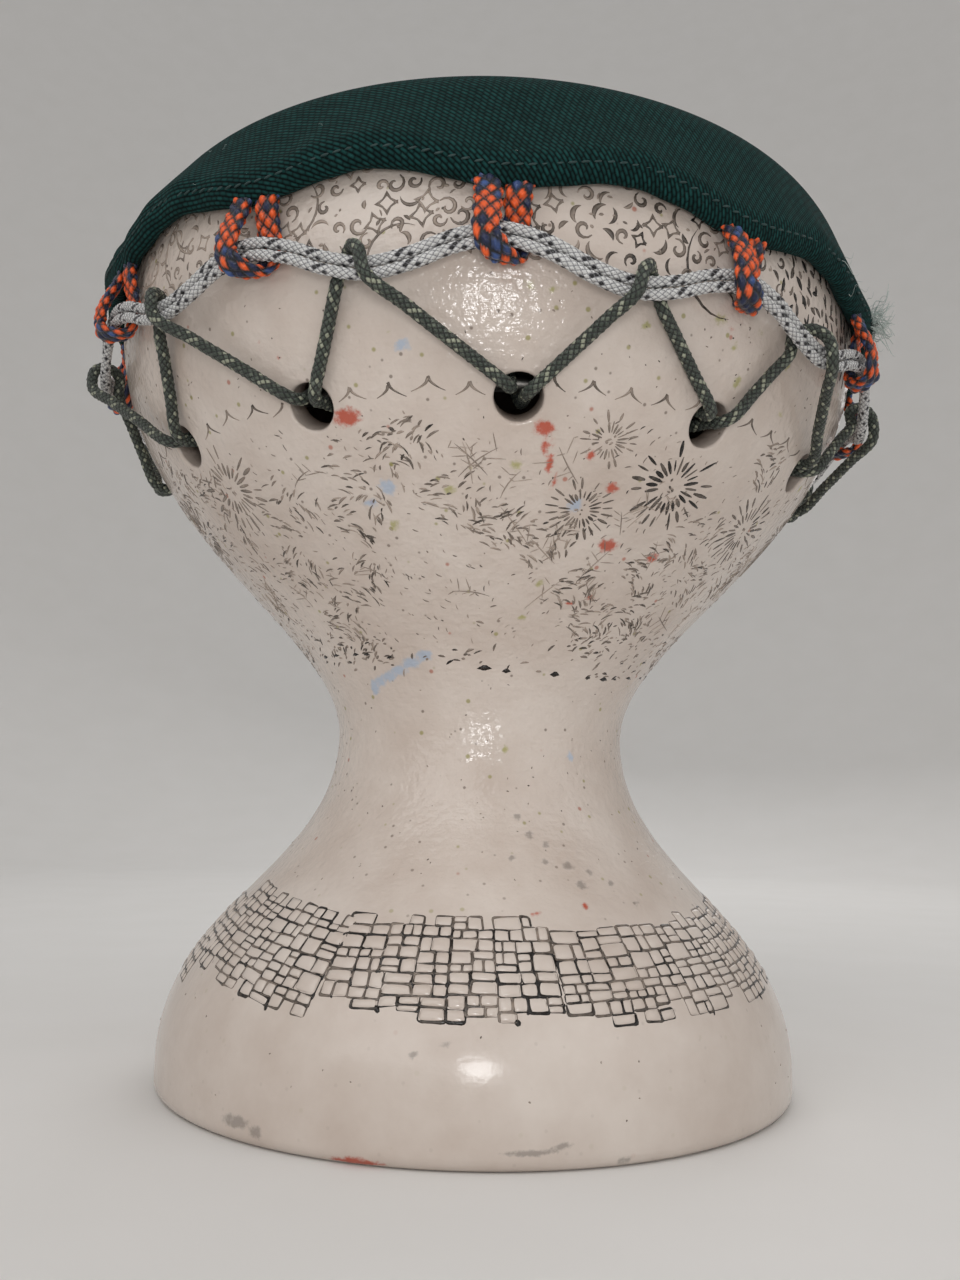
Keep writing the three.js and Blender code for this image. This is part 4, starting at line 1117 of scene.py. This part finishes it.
def cord_piece(name, route, depth, along, half_width, half_depth, sides, count, lead, relief, closed, finish,
               bow=1.0):
    """Carries an oval along a route and lifts it by the braid; the UV map holds turns along and around.

    A bow under 1 flattens the oval towards a rectangle: cos^bow across and sin^bow in depth. The sides are
    spread evenly along the oval's edge, so that all the diamonds of the braid are of one size.
    """
    ahead = np.roll(route, -1, 0) - np.roll(route, 1, 0) if closed else np.gradient(route, axis=0)
    ahead = unit(ahead)
    depth = unit(depth - (depth * ahead).sum(1, keepdims=True) * ahead)
    width = np.cross(ahead, depth)
    around = np.arange(sides) / sides
    turn = np.linspace(0, 2 * np.pi, 721)
    oval = np.stack([half_width * np.sign(np.cos(turn)) * np.abs(np.cos(turn)) ** bow,
                     half_depth * np.sign(np.sin(turn)) * np.abs(np.sin(turn)) ** bow], 1)
    run = np.concatenate([[0], np.cumsum(np.hypot(*np.diff(oval, axis=0).T))])
    section = np.stack([np.interp(around * run[-1], run, side) for side in oval.T], 1)
    way = unit(np.roll(section, -1, 0) - np.roll(section, 1, 0))
    lift = relief * (braid_crown(along, around, count, lead) - 0.6)
    across = section[:, 0] + lift * way[:, 1]
    inward = section[:, 1] - lift * way[:, 0]
    points = route[:, None] + across[..., None] * width[:, None] + inward[..., None] * depth[:, None]
    made = make_tubes(name, points[None], finish, closed)
    ring, side = np.divmod(corner_points(made), sides)
    quads = len(ring) - (0 if closed else 2 * sides)
    for number, whole in ((ring, len(route)), (side, sides)):
        four = number[:quads].reshape(-1, 4)
        four[(np.ptp(four, axis=1, keepdims=True) > 1) & (four == 0)] = whole
    add_uv(made, np.stack([ring * (along[1] - along[0]) / lead, side / sides], 1))
    return made


pillows = braid_crown(np.arange(40.0), np.arange(40) / 40, 6, 12.6)
print("mean height of a braid's pillows:", pillows.mean().round(2))

# %% [markdown]
# ## The finish of a braid
# The same node recipe serves all three cords. It counts the strands of both directions from the UV
# map and finds which one lies on top in each diamond. A few strands of each direction have a colour
# of their own. Fine lines along a strand are its yarns, drawn as bumps and as a slight painted shade,
# and the furrows between the diamonds are painted dark as painted shade.

# %% Braid finish
def braid_finish(name, count, marked, colours, yarns, roughness, groove):
    """Braid of count strands each way, of which a marked number each way has the first colour.

    The colours are those of the painted shade in the furrows, the marked strands, the plain strands and
    their flecks. The groove is the share of a diamond's height up to which its edge is painted dark as shade.
    """
    finish, tree, shader = new_finish(name)
    painted_furrow_shade, first, second, fleck_and_painted_glint = (linear(code) for code in colours)
    flat = add(tree, "SeparateXYZ", {0: add(tree, "UVMap", uv_map="weave")})
    fractions, numbers, picks, waves = [], [], [], []
    for kind, marked_strands in zip(("ADD", "SUBTRACT"), marked):
        turns = add(tree, "Math", {0: flat.outputs[1], 1: flat.outputs[0]}, operation=kind)
        strands = add(tree, "Math", {0: turns, 1: float(count)}, operation="MULTIPLY")
        fractions.append(add(tree, "Math", {0: strands}, operation="FRACT"))
        numbers.append(add(tree, "Math", {0: strands}, operation="FLOOR"))
        strand = add(tree, "Math", {0: numbers[-1], 1: float(count)}, operation="FLOORED_MODULO")
        picks.append(add(tree, "Math", {0: strand, 1: marked_strands - 0.5}, operation="LESS_THAN"))
        half_turn = add(tree, "Math", {0: fractions[-1], 1: np.pi}, operation="MULTIPLY")
        waves.append(add(tree, "Math", {0: half_turn}, operation="SINE"))
    both = add(tree, "Math", {0: numbers[0], 1: numbers[1]}, operation="ADD")
    on_top = add(tree, "Math", {0: both, 1: 2.0}, operation="FLOORED_MODULO")
    chosen = add(tree, "Mix", {0: on_top, 2: picks[0], 3: picks[1]}).outputs[0]
    cell = add(tree, "CombineXYZ", {0: numbers[0], 1: numbers[1]})
    # Flecks on chosen diamonds: painted glints of the yarn on the orange-blue and green braids, a duller
    # strand on the silver one
    spare = add(tree, "TexWhiteNoise", {"Vector": cell}, noise_dimensions="2D")
    flecked_and_glinting = add(tree, "MapRange", {"Value": spare, "From Min": 0.6, "From Max": 0.95, "To Max": 0.8})
    plain = add(tree, "Mix", {0: flecked_and_glinting, 6: second, 7: fleck_and_painted_glint}, data_type="RGBA")
    tint = add(tree, "Mix", {0: chosen, 6: plain.outputs[2], 7: first}, data_type="RGBA")
    across = add(tree, "Mix", {0: on_top, 2: fractions[0], 3: fractions[1]})
    yarn_turn = add(tree, "Math", {0: across.outputs[0], 1: 2 * np.pi * yarns}, operation="MULTIPLY")
    yarn = add(tree, "Math", {0: yarn_turn}, operation="SINE")
    crown = add(tree, "Math", {0: waves[0], 1: waves[1]}, operation="MULTIPLY")
    height = add(tree, "Math", {0: yarn, 1: 0.12, 2: crown}, operation="MULTIPLY_ADD")
    # Painted shade: the low edges of each diamond, and the yarn lines a little, take the dark furrow colour
    out_of_painted_shade = add(tree, "MapRange", {"Value": height, "From Min": 0.02, "From Max": groove})
    colour = add(tree, "Mix", {0: out_of_painted_shade, 6: painted_furrow_shade, 7: tint.outputs[2]}, data_type="RGBA")
    tree.links.new(colour.outputs[2], shader.inputs["Base Color"])
    shader.inputs["Roughness"].default_value = roughness
    shader.inputs["Sheen Weight"].default_value = 0.1
    ridge = add(tree, "Bump", {"Height": height, "Strength": 0.9, "Distance": 0.0004})
    tree.links.new(ridge.outputs[0], shader.inputs["Normal"])
    return finish


# Smooth man-made yarn with painted shade in its furrows and colours that change from strand to strand;
# the lighter flecks of the orange-blue and the green braid are painted glints
orange_blue = braid_finish("orange and blue cord braid", 5, (4, 2), ("04050b", "ea5a18", "101d42", "3f5f9e"),
                           3, 0.36, 0.75)
silver = braid_finish("silver braid with black tracers", 6, (1, 1), ("848386", "17171b", "d9d9d8", "c4c4c2"),
                      2, 0.25, 0.4)
green_braid = braid_finish("dark green cord braid", 6, (1, 1), ("0c0f0b", "9a9e8a", "3a433a", "666e61"),
                           2, 0.48, 0.6)
print("braids:", [finish.name for finish in (orange_blue, silver, green_braid)])

# %% [markdown]
# ## The hem cord
# A flat braid of orange and dark blue runs inside the hem. At each of the twelve ties it is drawn
# out and bent round the rope: one leg comes down in front of the rope and one goes up behind it. The
# route gives fourteen points for each tie, and the way the flat side faces turns half round in the loop.

# %% Places of the ties and the rope
cord_width, cord_thick, cord_bend = 7.4, 3.2, 6.0
rope_radius, strand_gap, bend_gap, lacing_radius = 1.55, 0.45, 0.85, 1.8
rope_middle, rope_sway, rope_lean = 233, 4.5, 5
strand_rise = rope_radius + strand_gap / 2
lacing_turn = rope_radius + bend_gap + lacing_radius


def rope_wave(angle):
    """Cosine that is 1 at each tie and -1 half way between two ties."""
    return np.cos(station_count * np.radians(angle - tie_angles[0]))


def rope_level(angle):
    """Height of the rope: high in the ties, drawn down between them, leaning down to the right."""
    return rope_middle + rope_sway * rope_wave(angle) - rope_lean * np.sin(np.radians(angle))


def slope_at(height):
    """Change of the radius of the bowl per millimetre of height."""
    return radius_at(height + 0.5) - radius_at(height - 0.5)


def resting_radius(height, radius):
    """Radius at which a round cord lies on the bowl."""
    return radius_at(height) + (radius + seat_gap) * np.hypot(1, slope_at(height))


def behind_rope(angle):
    """Radius of the leg of a tie that lies between the bowl and the rope."""
    return radius_at(rope_level(angle) + 4) + seat_gap + cord_thick / 2


def rope_radius_at(angle):
    """Radius of the rope, carried from the nearest tie to the nearest turn of the lacing by its wave."""
    steps = (angle - tie_angles[0]) / station_step
    tie = tie_angles[0] + station_step * np.round(steps)
    bend = tie_angles[0] + station_step * (np.floor(steps) + 0.5)
    at_tie = behind_rope(tie) + cord_thick / 2 + bend_gap + rope_radius
    at_bend = resting_radius(rope_level(bend) + 4, lacing_radius) + lacing_turn
    return at_bend + (rope_wave(angle) + 1) / 2 * (at_tie - at_bend)


print("radius of the rope at the ties in mm:", rope_radius_at(tie_angles[:3]).round(1))


# %% Orange and blue hem cord
def hem_route():
    """Fourteen points per tie: along the hem, down in front of the rope, under it and up behind it."""
    leg = cord_width / 2 + strand_gap
    # Half way round the bend out of the hem, 1 - cos 45 degrees is 0.293
    far, middle, drop = leg + cord_bend, leg + 0.293 * cord_bend, 0.293 * cord_bend
    run = np.radians(station_step / 2) * hem_radius
    side = np.array([-run, -far, -middle, -leg, -leg, -leg, -0.6 * leg, 0, 0.6 * leg, leg, leg, leg,
                     middle, far])
    tie = tie_angles[:, None]
    angle = tie + np.degrees(side / hem_radius)
    level, rope, at = hem_level(angle), rope_level(tie), rope_radius_at(tie)
    reach = rope_radius + bend_gap + cord_thick / 2
    low, back = rope - strand_rise - reach, behind_rope(tie)
    hem = 0 * tie + hem_radius
    radius = np.concatenate([hem, hem, hem, hem + 1, at + reach, at + reach, at + 0.85 * reach, at,
                             at - 0.85 * reach, back, back, hem, hem, hem], 1)
    height = np.concatenate([level[:, :2], level[:, 2:3] - drop, level[:, 3:4] - cord_bend,
                             rope + strand_rise + 1, rope - strand_rise, low + 0.25 * reach, low,
                             low + 0.25 * reach, rope - strand_rise, rope + strand_rise + 1,
                             level[:, 11:12] - cord_bend, level[:, 12:13] - drop, level[:, 13:]], 1)
    face = np.radians([0, 0, 0, 0, 0, 10, 45, 90, 135, 170, 180, 180, 180, 180])
    hand = np.where(np.arange(station_count) % 2, -1, 1)[:, None, None]
    normal = hang(angle, np.cos(face), -np.sin(face)) * hand
    return np.concatenate([hang(angle, radius, height), normal], -1).reshape(-1, 6)


hem_line, hem_along, hem_length = smooth_route(hem_route(), 0.62, True)
# The lead, one full turn of a strand, goes a whole number of times into the closed cord
hem_lead = hem_length / np.round(hem_length / 21.5)
hem_cord = cord_piece("braided_hem_cord", hem_line[:, :3], hem_line[:, 3:], hem_along, cord_width / 2,
                      cord_thick / 2, 32, 5, hem_lead, 0.7, True, orange_blue, bow=0.72)
settle(hem_cord, "orange_blue_braid", "hem_cord")
print("hem cord length in mm:", hem_length.round())

# %% [markdown]
# ## The silver rope
# A thin silver braid goes twice round the bowl, so two strands lie one above the other. It is
# held up by the ties and pulled down by the lacing between them. At the back its two ends
# hang, one wound round the other.

# %% Silver rope
round_lead = 12.6


def rope_route():
    """Two laps on the rope's wave, one strand below the other, with a hanging tail and a winding."""
    tie = tie_angles[0] + station_step * 6
    start, step = tie + 0.3 * station_step, station_step / 6
    tail_angle = start + 0.6
    tail = hang(tail_angle, rope_radius_at(start) + rope_radius, rope_level(start))
    wind, pitch = 2 * rope_radius + strand_gap, 2 * rope_radius + 1.4 * strand_gap
    top = 3 * rope_radius + wind + strand_gap

    def lap(angle, out, rise):
        return hang(angle, rope_radius_at(angle) + out, rope_level(angle) + rise)

    hanging = tail - np.array([[0, 0, 26.0], [0, 0, 13.0], [0, 0, top - rope_radius]])
    lower = lap(np.concatenate([[start + 1.2, start + 3], tie + step * np.arange(3, 74), [start + 358]]),
                np.concatenate([[rope_radius / 2], np.zeros(73)]),
                np.concatenate([[-strand_rise - 2.2], np.full(72, -strand_rise), [-strand_rise / 2]]))
    upper = lap(np.concatenate([[start + 360, start + 362], tie + step * np.arange(75, 145),
                                start + np.array([715.4, 716.6, 717.8])]),
                np.concatenate([np.zeros(72), [0.5, 0.75 * wind, 1.15 * wind]]),
                np.concatenate([[strand_rise / 2], np.full(73, strand_rise), [strand_rise / 2]]))
    turns = np.arange(49) / 24
    turn = -0.75 * np.pi + 2 * np.pi * turns
    out, side = hang(tail_angle, 1.0, 0.0), hang(tail_angle + 90, 1.0, 0.0)
    winding = tail + wind * (np.cos(turn)[:, None] * out + np.sin(turn)[:, None] * side)
    winding[:, 2] -= top + pitch * turns
    return np.concatenate([hanging, lower, upper, winding])


rope_line, rope_along, rope_length = smooth_route(rope_route(), 0.75, False)
rope_depth = unit(rope_line * [1, 1, 0]) * 0.35 + np.array([0, 0, 1.0])
rope = cord_piece("silver_rope", rope_line, rope_depth, rope_along, rope_radius, rope_radius, 24, 6,
                  round_lead, 0.3, False, silver)
settle(rope, "silver_braid", "tension_rope")
print("rope length in mm:", rope_length.round())

# %% [markdown]
# ## The green lacing
# A round dark green braid laces the rope to the holes. From each hole it goes up behind the rope, over it
# and down in front to the next hole, where it turns round a ring inside the bowl. One turn at the
# front is threaded the other way. The two ends are wound on the ring at the back.

# %% Places at the holes
anchor_radius = 2.5
hole_slope = slope_at(hole_height)
hole_out = np.array([1, -hole_slope]) / np.hypot(1, hole_slope)
hole_up = np.array([hole_slope, 1]) / np.hypot(1, hole_slope)
anchor_turn = anchor_radius + bend_gap + lacing_radius
anchor_depth = -(wall + 2 * bend_gap + lacing_radius + anchor_turn)
anchor_ring_radius = radius_at(hole_height) + anchor_depth * hole_out[0]
leg_side = lacing_radius + strand_gap
turn_shift, turn_slant = 1.9, 2.3
leg_spread, leg_rise = 2.2, 4.6


def near_hole(angle, side, rise, depth):
    """Point beside a hole: sideways, up the wall and outwards from the middle of its mouth."""
    rise, depth = np.asarray(rise), np.asarray(depth)
    point = hang(angle, radius_at(hole_height) + rise * hole_up[0] + depth * hole_out[0],
                 hole_height + rise * hole_up[1] + depth * hole_out[1])
    return point + np.asarray(side)[..., None] * hang(np.asarray(angle) + 90, 1.0, 0.0)


def round_anchor(angle, side, turn):
    """Point on the way round the ring inside, from straight up towards the middle of the bowl."""
    turn = np.radians(turn)
    return near_hole(angle, side, anchor_turn * np.cos(turn), anchor_depth - anchor_turn * np.sin(turn))


def taut(start, end, part):
    """Point on the straight way between two points, pushed out where the bowl is in the way."""
    point = start + (end - start) * part
    radius = np.hypot(point[0], point[1])
    return point * [*np.full(2, max(radius, resting_radius(point[2], lacing_radius)) / radius), 1]


print("radius of the ring inside in mm:", anchor_ring_radius.round(1))


# %% Green lacing
def lacing_step(station):
    """Points from one hole over the rope to the next hole."""
    from_hole = hole_angles[0] + station * station_step
    to_hole = hole_angles[0] + (station + 1) * station_step
    middle = tie_angles[0] + (station + 0.5) * station_step
    front = -1 if station == 0 else 1
    top = middle - front * turn_shift
    mouth = lacing_radius + 2 * strand_gap
    leave = near_hole(from_hole, leg_side + leg_spread, leg_rise, mouth)
    enter = near_hole(to_hole, -leg_side - leg_spread, leg_rise, mouth)
    turn = np.array([-20, 18, 54, 90, 126, 162, 200])
    over_angle = top + turn_slant * (turn - 90) / 110
    over = hang(over_angle, rope_radius_at(over_angle) - front * lacing_turn * np.cos(np.radians(turn)),
                rope_level(over_angle) + np.where((turn < 0) | (turn > 180), -strand_rise, strand_rise)
                + np.maximum(np.sin(np.radians(turn)), -0.4) * lacing_turn)
    out_of = near_hole(np.full(3, from_hole), leg_side + np.array([0, 0, 0.4]), [-2.6, 0, 1.8],
                       [-wall - 1, -wall / 2, strand_gap])
    into = near_hole(np.full(3, to_hole), -leg_side - np.array([0.4, 0, 0]), [2.8, 2.6, 3.4],
                     [strand_gap, -wall / 2, -wall - 1])
    rising = [leave, taut(leave, over[0], 0.35), taut(leave, over[0], 0.72)]
    falling = [taut(over[-1], enter, 0.28), taut(over[-1], enter, 0.65), enter]
    return np.concatenate([out_of, rising, over, falling, into])


def lacing_route():
    """Windings at the back hole, and between them twelve steps with a turn round the ring at each hole."""
    back = hole_angles[0] + 6 * station_step
    turns = np.arange(49) / 24
    reach = leg_side + (2 * lacing_radius + 2 * strand_gap) * turns
    shift = np.degrees(reach / anchor_ring_radius)
    route = [round_anchor(back + shift, 0 * turns, 180 - 360 * turns)[::-1]]
    for k in range(station_count):
        station = (6 + k) % station_count
        route.append(lacing_step(station))
        if k < station_count - 1:
            hole = hole_angles[0] + (station + 1) * station_step
            route.append(round_anchor(np.full(5, hole), leg_side * np.array([-0.9, -0.5, 0, 0.5, 0.9]),
                                      [0, 50, 90, 130, 180]))
    route.append(round_anchor(back - shift, 0 * turns, 360 * turns))
    return np.concatenate(route)


lacing_line, lacing_along, lacing_length = smooth_route(lacing_route(), 0.8, False)
lacing_side = np.stack([-lacing_line[:, 1], lacing_line[:, 0], 0 * lacing_line[:, 0]], 1)
lacing_depth = unit(lacing_side) + np.array([0.0, 0.0, 0.02])
lacing = cord_piece("green_lacing", lacing_line, lacing_depth, lacing_along, lacing_radius, lacing_radius,
                    24, 6, round_lead, 0.34, False, green_braid)
settle(lacing, "dark_green_braid", "lacing_cord")
print("lacing length in mm:", lacing_length.round())

# %% [markdown]
# ## The ring inside the bowl
# The lacing turns round a ring of thick wire inside. It is hardly seen, only through the holes and
# from below, so a plain torus with a dull drawn-wire finish is right for it.

# %% Wire ring
ring_angle = np.linspace(0, 360, 180, endpoint=False)[:, None]
ring_turn = np.linspace(0, 2 * np.pi, 18, endpoint=False)[None, :]
ring_points = near_hole(ring_angle + 0 * ring_turn, 0 * ring_turn,
                        anchor_radius * np.sin(ring_turn) + 0 * ring_angle,
                        anchor_depth + anchor_radius * np.cos(ring_turn) + 0 * ring_angle)
# Drawn steel: a dull metal gleam that changes with the scale left on it
wire, wire_tree, wire_shader = new_finish("drawn steel wire")
scale = add(wire_tree, "TexNoise", {"Vector": add(wire_tree, "TexCoord").outputs["Object"], "Scale": per(4),
                                    "Detail": 4.0})
steel = add(wire_tree, "Mix", {0: scale, 6: linear("6f6c68"), 7: linear("a5a29d")}, data_type="RGBA")
wire_tree.links.new(steel.outputs[2], wire_shader.inputs["Base Color"])
worn_gloss = add(wire_tree, "MapRange", {"Value": scale, "To Min": 0.3, "To Max": 0.55})
wire_tree.links.new(worn_gloss.outputs[0], wire_shader.inputs["Roughness"])
wire_shader.inputs["Metallic"].default_value = 1.0
wire_ring = make_tubes("wire_ring", ring_points[None], wire, closed=True)
settle(wire_ring, "ring_steel", "anchor_ring")
